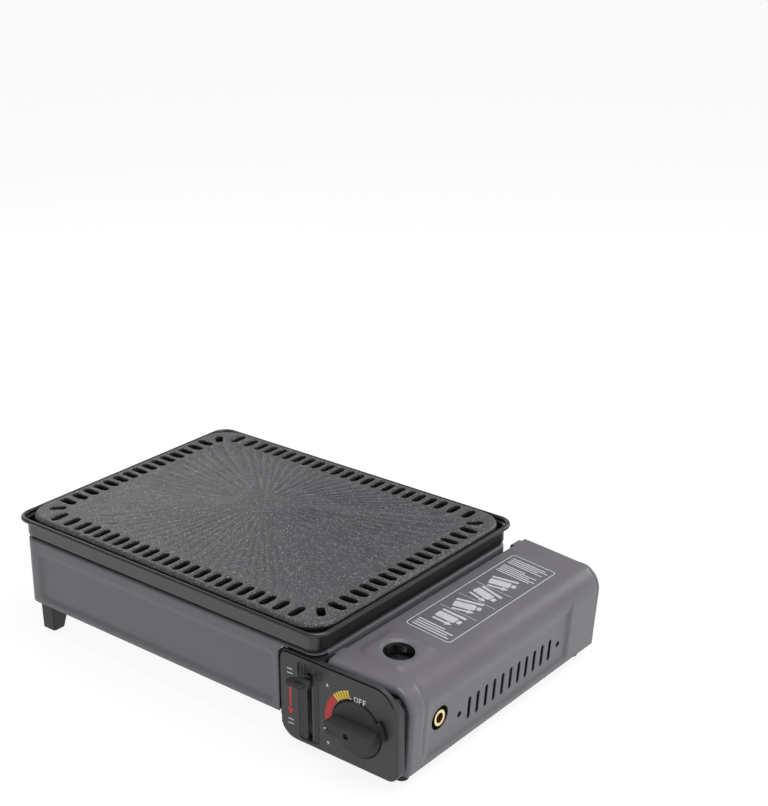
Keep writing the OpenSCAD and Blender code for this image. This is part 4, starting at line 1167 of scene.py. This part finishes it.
    def dress(self) -> None:
        """Add the panel, the knob's stop and the print."""
        panel, slot = self.build(), "black_plastic"
        add_piece("control_panel_moulding", panel, Finishes.PANEL, "base", slot, ["control_panel"], 34.0)
        print_on = DialPrint(self)
        stop = thin_print([print_on.sector(5.0, 34.0, 25.9, 31.6)], facing_front(self.at.face + 1.3), 3.6)
        add_piece("knob_stop_block", stop, Finishes.DARK, "base", slot)
        print_on.dress()


@dataclass
class DialPrint:
    """Print on the panel: coloured sectors, the closed mark's word, arrows and ticks."""

    panel: ControlPanel
    inner: float = 26.6
    outer: float = 33.6

    def sector(self, start: float, end: float, inner: float, outer: float) -> Array:
        """Part of a ring between two angles, in degrees counter-clockwise from the right."""
        turn = np.radians(np.linspace(start, end, max(3, int(abs(end - start) / 2.5))))
        way = np.stack([np.cos(turn), np.sin(turn)], -1)
        return self.panel.at.dial + np.vstack([way * outer, way[::-1] * inner])

    def stripes(self, start: float, end: float, count: int, gap: float) -> list[Array]:
        """Sectors side by side with narrow gaps."""
        edges = np.linspace(start, end, count + 1)
        return [self.sector(a, b - gap, self.inner, self.outer) for a, b in zip(edges[:-1], edges[1:])]

    def word(self, middle: Array, tall: float) -> list[Array]:
        """The closed mark's word: an O as a ring and two Fs as bars."""
        wide, pen = 0.58 * tall, 0.15 * tall
        ring = square((-1.22 * tall, -tall / 2), (-0.46 * tall, tall / 2), 0.34 * tall)
        made = [ring.loop(1.0, inset, 6)[0] for inset in (0.0, pen)]
        for x in (-0.26 * tall, 0.56 * tall):
            h, half, stem, arm = tall / 2, pen / 2, x + pen, x + wide * 0.8
            made.append(np.array([
                [x, -h], [stem, -h], [stem, -half], [arm, -half], [arm, half],
                [stem, half], [stem, h - pen], [x + wide, h - pen], [x + wide, h], [x, h],
            ]))
        return [loop + middle for loop in made]

    def arrow(self, x: float, z: float, up: float, size: float) -> Array:
        """Small triangle that points up or down."""
        return np.array([[-0.5, -0.4 * up], [0.5, -0.4 * up], [0.0, 0.6 * up]]) * size + [x, z]

    def dress(self) -> None:
        """Add the print in its three inks."""
        at = self.panel.at
        right, strip = at.panel_high[0], at.lever - 20.0
        white = self.word(np.array([right - 37.6, 72.9]), 5.2)
        white += [self.sector(101.8, 104.2, self.inner - 0.6, self.inner + 0.8)]
        white += [circle((right - 76.5, 32.0), 0.8, 12)]
        white += [self.arrow(right - 72.0, 75.5, 1, 3.0), self.arrow(right - 72.0, 21.0, -1, 3.0)]
        rules = (24.0, 28.0, 72.0, 76.0)
        white += [bar_loop((strip - 3.0, z - 0.4), (strip + 3.0, z + 0.4), 0.3, 2.0) for z in rules]
        red = self.stripes(139.5, 195.0, 9, 1.2)
        red += [self.arrow(strip, 64.0, 1, 6.0), self.arrow(strip, 36.0, -1, 6.0)]
        red += [bar_loop((strip - 1.0, 40.0), (strip + 1.0, 60.0), 0.4)]
        yellow = self.stripes(105.0, 138.5, 6, 1.6)
        for name, loops, finish in (
            ("dial_print_white", white, Finishes.WHITE_INK),
            ("dial_print_red", red, Finishes.RED_INK),
            ("dial_print_yellow", yellow, Finishes.YELLOW_INK),
        ):
            ink = thin_print(loops, facing_front(at.face + self.panel.sunk), INK_PROUD)
            add_piece(name, ink, finish, "base", "white_plastic")


@dataclass
class Knob:
    """Gas knob: a disc in the panel's well with a grip bar across it."""

    at: Places
    radius: float = 24.5
    front: float = 1.0
    back: float = -3.6
    bar: tuple[float, float] = (46.5, 12.5)
    bar_corner: float = 1.6
    out: float = KNOB_OUT
    edge: float = 0.9

    def build(self) -> Surface:
        """A turned disc, and a bar with round edges, a hole in its middle and a short groove near one end."""
        r, front, back = self.radius, self.front, self.back
        profile = [(0, back), (r - 0.5, back), (r, back + 0.5)]
        profile += [(r, front - 0.8), (r - 0.3, front - 0.25), (r - 1.0, front), (0, front)]
        disc = lathe(profile, 96).laid([self.at.dial[0], self.at.face, self.at.dial[1]], (1, -1, 1))
        half = np.array(self.bar) / 2
        shape = square(tuple(-half), tuple(half), self.bar_corner)
        groove = np.array([[-17.0, 0.0, 2.6, 0.7, 0.0]])
        lines = [shape.loop(2.0, inset)[0] for inset in (0.15, 0.5, self.edge)]
        lines += [circle((0, 0), radius, 32) for radius in (2.55, 2.6, 3.0)]
        lines += [loop for grow in (-0.05, 0.0, 0.3) for loop in capsules(groove, grow, 6)]
        spots = lattice(np.arange(-20.0, 20.1, 2.0), np.arange(-4.0, 4.1, 2.0))
        spots = spots[(np.linalg.norm(spots, axis=1) > 4.0) & (capsule_gap(spots, groove) > 0.8)]
        sheet = Sheet([shape.loop(2.0)[0]], lines, spots, lambda mid: shape.depth(mid) > 0)
        flat = sheet.points
        reach = np.linalg.norm(flat, axis=1)
        top = self.out - 0.02 - fillet(shape.depth(flat), self.edge) - 0.4 * smooth(3.0, 2.6, reach)
        top = np.where(reach < 2.57, self.out - 2.5, top)
        top = np.where(capsule_gap(flat, groove) < -0.02, top - 0.9, top)
        place = facing_front(self.at.face)
        return disc + sheet.solid(top, np.full(len(flat), 0.2), lambda p, h: place(p + self.at.dial, h))

    def dress(self) -> None:
        """Add the knob and its white mark."""
        knob, slot = self.build(), "knob_plastic"
        add_piece("control_knob_moulding", knob, Finishes.KNOB, "knob", slot, ["control_knob"], 34.0)
        x, z = self.at.dial
        mark = [bar_loop((x - 22.2, z - 0.6), (x - 20.4, z + 0.6), 0.3, 2.0)]
        ink = thin_print(mark, facing_front(self.at.face - self.out), INK_PROUD)
        add_piece("knob_mark", ink, Finishes.WHITE_INK, "knob", "white_plastic")


@dataclass
class LeverTab:
    """Thumb tab of the lock lever: a thin leaf with a thicker root at the slot."""

    at: Places
    thick: float = 3.2

    def build(self) -> Surface:
        """A leaf whose upper face is dished, and a soft block over the lever's end."""
        low, high = span("lever_tab")
        lever, face, leaf_top = self.at.lever, self.at.face, low[2] + 4.0
        corners = (2.0, 5.5, 6.0, 2.5)
        leaf = Rounded((low[0] + 0.1, low[1] + 0.1), (lever + 4.8, face - 3.1), corners)
        lines = [leaf.loop(1.5, inset)[0] for inset in (0.2, 0.6, 1.2)]
        spots = lattice(np.arange(low[0], lever + 5, 1.5), np.arange(low[1], face, 1.5))
        spots = spots[leaf.depth(spots) > 1.8]
        sheet = Sheet([leaf.loop(1.5)[0]], lines, spots, lambda mid: leaf.depth(mid) > 0)
        depth = leaf.depth(sheet.points)
        top = leaf_top - 0.05 - 0.5 * smooth(1.5, 5.0, depth) - fillet(depth, 1.1)
        bottom = leaf_top - self.thick + 0.05 + fillet(depth, 1.1)
        root_low = [lever - 5.9, face - 9.4, low[2] + 0.05]
        root = soft_block(root_low, [high[0] - 0.05, face - 4.05, high[2] - 0.05], 1.4)
        return sheet.solid(top, bottom, level) + root

    def dress(self) -> None:
        """Add the tab."""
        tab = self.build()
        add_piece("lever_thumb_tab", tab, Finishes.KNOB, "lever", "knob_plastic", ["lever_tab"], 40.0)


@dataclass
class GrillPlate:
    """Cast plate that rises to its middle, with slots all round, shallow rays and a speckled coating."""

    corner: float = 27.0
    slot_length: float = 19.0
    corner_length: float = 16.0
    slot_width: float = 7.4
    margin: float = 5.5
    counts: tuple[int, int] = (23, 15)
    widen: tuple[float, float] = (0.09, 0.04)
    short_of: tuple[float, float] = (20.0, 28.0)
    rise: float = 12.0
    hub: float = 0.12
    thick: float = 6.0
    edge: float = 4.4
    slot_edge: float = 0.8
    ray_depth: float = 1.0
    ray_half: float = 3.0
    low: Array = field(default_factory=lambda: span("grill_plate")[0])
    high: Array = field(default_factory=lambda: span("grill_plate")[1])

    def __post_init__(self) -> None:
        """Half sizes of the plate, and how far its slots stand from its middle."""
        self.half = (self.high - self.low)[:2] / 2
        self.slots = self.half - self.margin - self.slot_length / 2

    def row(self, way: int) -> Array:
        """Places of the slots along a side; the last two at each end stand wider apart."""
        count, widen = self.counts[way], self.widen[way]
        number = np.arange(count) - (count - 1) / 2
        past = np.maximum(np.abs(number) - (count - 5) / 2, 0.0)
        reach = np.abs(number) + widen * past * (past + 1)
        room = self.slots[way] - self.short_of[way]
        return np.sign(number) * reach * room / ((count - 1) / 2 + 6 * widen)

    def slot_places(self) -> Array:
        """Rows of x, y, half the straight length, radius and heading, about the plate's middle."""
        x, y = self.slots
        rows = [[u, s * y, self.slot_length, 90.0] for s in (-1, 1) for u in self.row(0)]
        rows += [[s * x, v, self.slot_length, 0.0] for s in (-1, 1) for v in self.row(1)]
        corners = [(a, b) for a in (-1, 1) for b in (-1, 1)]
        rows += [[a * (x - 4), b * (y - 12), self.corner_length, a * b * 45.0] for a, b in corners]
        x, y, length, heading = np.array(rows).T
        radius = np.full(len(rows), self.slot_width / 2)
        return np.column_stack([x, y, length / 2 - radius, radius, heading])

    def dome(self, flat: Array) -> Array:
        """Height of the rise: a cone over |x/a|^3 + |y/b|^3 = 1, with a soft foot and a flat middle."""
        base = self.slots - self.slot_length / 2 - 3.0
        out = (np.abs(flat / base) ** 3).sum(1) ** (1 / 3)
        share = (1 - out) / (1 - self.hub)
        soft = 0.05
        foot = np.where(share > soft, share, np.maximum(share + soft, 0.0) ** 2 / (4 * soft))
        over = np.clip(foot - 1 + soft, 0.0, 2 * soft)
        return self.rise * (np.minimum(foot, 1 + soft) - over**2 / (4 * soft))

    def rays(self, places: Array) -> tuple[Array, Array, Array]:
        """Start, end and depth of the rays from the middle to the slots; half are short, front ones faint."""
        to = places[:, :2]
        far = np.linalg.norm(to, axis=1)
        end = to * (1 - 14.0 / far[:, None])
        start = to * np.where(np.arange(len(to)) % 2, 0.42, 0.17)[:, None]
        return start, end, self.ray_depth * (0.3 + 0.7 * smooth(-0.35, 0.05, to[:, 1] / far))

    def build(self) -> Surface:
        """Solid with z = edge + dome - edge fillet - slot fillets - rays; its underside follows the dome."""
        places = self.slot_places()
        outline = square(tuple(-self.half), tuple(self.half), self.corner)
        start, end, deep = self.rays(places)
        run = end - start
        side = np.stack([-run[:, 1], run[:, 0]], -1) / np.linalg.norm(run, axis=1, keepdims=True)
        share = np.linspace(0.0, 1.0, 16)
        middle = start[:, None] + share[None, :, None] * run[:, None]
        far = np.linalg.norm(middle, axis=-1, keepdims=True) / np.linalg.norm(end, axis=1)[:, None, None]
        width = self.ray_half * np.clip(far, 0.16, 1.0)
        strands = [middle + k * width * side[:, None] for k in (-1.0, -0.3, 0.3, 1.0)]
        lines = [line for strand in strands for line in strand]
        lines += [outline.loop(5.0, inset)[0] for inset in (0.2, 0.6, 1.3, 2.3, 3.4, self.edge)]
        lines += [loop for grow in (0.25, self.slot_edge) for loop in capsules(places, grow)]
        loops = [outline.loop(5.0)[0], *capsules(places, 0.0)]
        spots = lattice(*(np.arange(-h + 5, h - 4, 5.0) for h in self.half))
        taken = middle.reshape(-1, 2)
        clear = np.linalg.norm(spots[:, None] - taken[None], axis=-1).min(1) > 3.6
        spots = spots[clear & (capsule_gap(spots, places) > 2) & (outline.depth(spots) > 5.2)]

        def keep(mid: Array) -> Array:
            """Whether triangles lie inside the outline and outside the slots."""
            return (capsule_gap(mid, places) > 0) & (outline.depth(mid) > 0)

        sheet = Sheet(loops, lines, spots, keep)
        flat = sheet.points
        dome = self.dome(flat)
        top = self.low[2] + self.thick - 0.02 + dome
        top -= fillet(outline.depth(flat), self.edge)
        top -= fillet(capsule_gap(flat, places), self.slot_edge)
        strand_points = np.vstack([s.reshape(-1, 2) for s in strands[1:3]])
        fade = smooth(0.0, 0.15, share) * smooth(1.0, 0.9, share)
        fade = fade * (0.45 + 0.55 * np.clip(far[..., 0], 0.0, 1.0))
        top -= self.ray_drop(flat, strand_points, np.tile((deep[:, None] * fade).ravel(), 2))
        centre = (self.low + self.high) / 2
        return sheet.solid(top, self.low[2] + dome, lambda p, h: level(p + centre[:2], h))

    @staticmethod
    def ray_drop(flat: Array, strand_points: Array, strand_deep: Array) -> Array:
        """Depth of the ray at each point that lies on one of the rays' inner lines."""

        def keys(points: Array) -> Array:
            """One whole number for each point, the same for points within a micrometre or so."""
            return np.round(points * 1000).astype(np.int64) @ np.array([1 << 22, 1])

        order = np.argsort(keys(strand_points))
        known, asked = keys(strand_points)[order], keys(flat)
        found = np.clip(np.searchsorted(known, asked), 0, len(known) - 1)
        return np.where(known[found] == asked, strand_deep[order][found], 0.0)

    def dress(self) -> None:
        """Add the plate."""
        cast = self.build()
        add_piece("grill_plate_cast", cast, Finishes.COATING, "plate", "plate_coating", ["grill_plate"], 50.0)


@dataclass
class GreaseTray:
    """Pressed tray with a round collar over the flame and a rolled rim."""

    corner: float = 11.0
    sheet: float = 1.0
    rim_radius: float = 2.25
    rim_out: float = 3.55
    collar: float = 99.0
    collar_high: float = 8.0
    wall: tuple[float, float] = (363.4, 270.4)
    floor: float = 98.2
    button_in: float = 30.0

    def build(self) -> Surface:
        """Closed skin: collar, floor, wall, rolled rim, outside and underside, round a rounded rectangle.

        The floor's rows pass from a circle to the rounded rectangle by mixing the two by share.
        """
        low, high = span("grease_tray")
        half = np.array(self.wall) / 2
        loop, normal = square(tuple(-half), tuple(half), self.corner).loop(4.0)
        around = loop / np.linalg.norm(loop, axis=1, keepdims=True)

        def ring(radius: float, z: float) -> Array:
            """Points round the collar, one for each point of the wall."""
            return level(around * radius, np.full(len(loop), z))

        z0, z1, rim_z, r = self.floor, self.floor + self.sheet, high[2] - self.rim_radius, self.rim_radius
        turn = np.radians(np.linspace(215.0, -70.0, 13))
        roll = np.stack([self.rim_out + r * np.cos(turn), rim_z + r * np.sin(turn)], -1)
        inner = [(-6.0, z1), (-3.4, z1 + 0.2), (-1.9, z1 + 1.2), (-1.2, z1 + 3.0)]
        inner += [(-1.0, rim_z - 3.5), (0.2, rim_z - 2.0)]
        outer = [(1.2, rim_z - 2.5), (0.4, rim_z - 3.2), (0.0, rim_z - 4.6)]
        outer += [(0.0, z0 + 3.0), (-0.4, z0 + 1.4), (-1.4, z0 + 0.4), (-3.0, z0)]
        wall = [*inner, *roll.tolist(), *outer]
        rows = [level(loop + u * normal, np.full(len(loop), z)) for u, z in wall]
        c, top = self.collar, self.floor + self.collar_high
        collar = [(0.0, z0), (0.0, top - 0.4), (0.2, top), (0.8, top), (1.0, top - 0.4)]
        collar += [(1.0, z1 + 2.0), (1.6, z1 + 0.5), (3.0, z1)]
        lead = [ring(c + u, z) for u, z in collar]
        mixed = [lead[-1] * (1 - s) + rows[0] * s for s in (0.25, 0.5, 0.75)]
        under = [rows[-1] * (1 - s) + ring(c + 2.0, z0) * s for s in (0.33, 0.66, 1.0)]
        grid = np.stack([*lead, *mixed, *rows, *under])
        points = grid.reshape(-1, 3) + [*(low + high)[:2] / 2, 0.0]
        return Surface(points, [grid_faces(len(grid), len(loop), True, True)])

    def dress(self) -> None:
        """Add the tray and the buttons that it stands on."""
        low, high = span("grease_tray")
        centre = (low + high) / 2
        surface, under, over = self.build(), low[2], self.floor + 0.3
        button = lathe([(0.0, under), (5.2, under), (6.0, under + 0.5), (6.0, over), (0.0, over)], 32)
        away = np.array(self.wall) / 2 - self.button_in
        for sx in (-1, 1):
            for sy in (-1, 1):
                surface = surface + button.shifted([centre[0] + sx * away[0], centre[1] + sy * away[1], 0.0])
        replaced = ["grease_tray"]
        add_piece("grease_tray_pressed", surface, Finishes.ENAMEL, "tray", "black_enamel", replaced, 50.0)


@dataclass(frozen=True)
class Lamp:
    """Square area lamp: its place, the point that it faces and its side in metres, and its watts."""

    name: str
    place: tuple[float, float, float]
    aim: tuple[float, float, float]
    size: float
    power: float

    def add(self) -> None:
        """Add the lamp to the scene."""
        data = bpy.data.lights.new(self.name, "AREA")
        data.size = self.size
        data.energy = self.power
        lamp = bpy.data.objects.new(self.name, data)
        bpy.context.scene.collection.objects.link(lamp)
        lamp.location = self.place
        lamp.rotation_euler = (Vector(self.aim) - Vector(self.place)).to_track_quat("-Z", "Y").to_euler()


@dataclass(frozen=True)
class Studio:
    """Pale floor, soft light and the camera of the photograph.

    The world's brightness passes from the horizon's to the one overhead between two heights. The camera
    stands off from the lid's lower front corner, in millimetres, and its angles are in degrees.
    """

    floor_half: float = 6.0
    floor_grey: float = 0.9
    glow: float = 1.06
    glow_share: float = 0.84
    heights: tuple[float, float] = (0.05, 0.75)
    brightness: tuple[float, float] = (0.66, 0.3)
    sky: tuple[float, float, float, float] = (1.0, 0.985, 1.0, 1.0)
    azimuth: float = 38.75
    elevation: float = 21.16
    roll: float = -0.16
    lens: float = 76.07
    sensor: float = 36.0
    stand: tuple[float, float, float] = (677.8, -874.0, 760.8)
    lamps: tuple[Lamp, ...] = (
        Lamp("top_light", (0.45, 0.0, 1.6), (0.1, 0.0, 0.05), 1.2, 18.0),
        Lamp("left_light", (-1.35, 0.6, 1.0), (0.0, 0.0, 0.1), 0.9, 4.0),
        Lamp("back_light", (0.6, 1.7, 0.8), (0.0, 0.0, 0.12), 0.6, 7.0),
        Lamp("front_light", (-0.5, -1.7, 0.8), (0.0, 0.0, 0.05), 1.2, 0.6),
        Lamp("right_light", (1.8, 0.1, 0.7), (0.0, 0.0, 0.05), 1.2, 4.5),
    )

    def floor(self) -> None:
        """Large floor that shows white to the camera and keeps the object's shadow."""
        mesh = bpy.data.meshes.new("floor")
        line = np.array([-self.floor_half, self.floor_half])
        points = np.column_stack([lattice(line, line), np.zeros(4)])
        mesh.from_pydata(points.tolist(), [], [(0, 2, 3, 1)])
        floor = bpy.data.objects.new("floor", mesh)
        bpy.context.scene.collection.objects.link(floor)
        material = bpy.data.materials.new("studio_floor")
        material.use_nodes = True
        nodes, wires = material.node_tree.nodes, Wiring(material.node_tree)
        nodes.remove(nodes["Principled BSDF"])
        matt = wires.add("BsdfDiffuse", {"Color": (*[self.floor_grey] * 3, 1.0)})
        glow = wires.add("Emission", {"Strength": self.glow})
        path = wires.add("LightPath", {}).outputs
        seen = wires.maths("MAXIMUM", path["Is Camera Ray"], path["Is Glossy Ray"])
        share = wires.maths("MULTIPLY", seen, self.glow_share)
        mix = wires.add("MixShader", {0: share, 1: matt.outputs[0], 2: glow.outputs[0]})
        wires.feed(nodes["Material Output"], {"Surface": mix.outputs[0]})
        mesh.materials.append(material)

    def light(self) -> None:
        """World that is pale at the horizon and darker overhead, and the lamps."""
        world = bpy.data.worlds.new("studio")
        bpy.context.scene.world = world
        world.use_nodes = True
        wires = Wiring(world.node_tree)
        where = wires.add("TexCoord", {})
        split = wires.add("SeparateXYZ", {0: where.outputs["Generated"]})
        rise = wires.spread(split.outputs["Z"], self.heights, self.brightness)
        wires.feed(world.node_tree.nodes["Background"], {"Strength": rise, "Color": self.sky})
        for lamp in self.lamps:
            lamp.add()

    def camera(self, at: Places) -> None:
        """Camera solved from the photograph's outlines, placed from the lid's lower front corner."""
        azimuth, elevation, roll = (math.radians(v) for v in (self.azimuth, self.elevation, self.roll))
        right = Vector((math.cos(azimuth), math.sin(azimuth), 0.0))
        level_back = Vector((math.sin(azimuth), -math.cos(azimuth), 0.0))
        back = level_back * math.cos(elevation) + Vector((0.0, 0.0, math.sin(elevation)))
        axes = Matrix((right, back.cross(right), back)).transposed()
        data = bpy.data.cameras.new("photo")
        data.sensor_fit = "HORIZONTAL"
        data.sensor_width = self.sensor
        data.lens = self.lens
        camera = bpy.data.objects.new("photo", data)
        bpy.context.scene.collection.objects.link(camera)
        camera.rotation_euler = (axes @ Matrix.Rotation(roll, 3, "Z")).to_euler()
        corner = Vector((at.panel_high[0], at.lid_low[1], 0.0))
        camera.location = (corner + Vector(self.stand)) * MM
        bpy.context.scene.camera = camera

    def build(self, at: Places) -> None:
        """Set up the whole studio."""
        self.floor()
        self.light()
        self.camera(at)
        bpy.context.scene.view_settings.view_transform = "Standard"


NODE_FINISH = {
    Finishes.PAINT: "body_shell bay_shell bay_front bay_rear cartridge_lid",
    Finishes.ZINC: (
        "base_plate heat_shield leg_screws panel_screws lever_pivot cartridge_yoke yoke_guide mixing_tube"
        " burner_bracket hinge_pins"
    ),
    Finishes.DARK: "front_left_leg rear_left_leg regulator_cap",
    Finishes.RUBBER: "front_right_foot rear_right_foot socket_seal",
    Finishes.PANEL: "control_panel",
    Finishes.KNOB: "control_knob lever_tab",
    Finishes.BRASS: "valve_spindle hose_inlet injector_nozzle",
    Finishes.IVORY: "igniter_cam electrode_insulator",
    Finishes.STEEL: "lock_lever",
    Finishes.CAST: "regulator_body cartridge_socket gas_valve_body burner_head plate_feet",
    Finishes.IRON: "burner_cap",
    Finishes.BRIGHT: "reflector spark_electrode",
    Finishes.RED_PLASTIC: "piezo_igniter",
    Finishes.WIRE: "ignition_wire",
    Finishes.ENAMEL: "grease_tray",
    Finishes.COATING: "grill_plate",
}


def dress_nodes() -> None:
    """Give every CAD node its finish in place of its plain colour."""
    for finish, names in NODE_FINISH.items():
        for name in names.split():
            materials = frame["nodes"][name].data.materials
            materials.clear()
            materials.append(finish.value.material())


def main() -> None:
    """Build the studio and every piece."""
    logging.basicConfig(level=logging.INFO, format="%(message)s")
    at = Places.read()
    Studio().build(at)
    dress_nodes()
    placed = (kind(at) for kind in (BurnerBox, CartridgeLid, ControlPanel, Knob, LeverTab))
    for part in (*placed, GrillPlate(), GreaseTray()):
        part.dress()


if __name__ == "__main__":
    main()
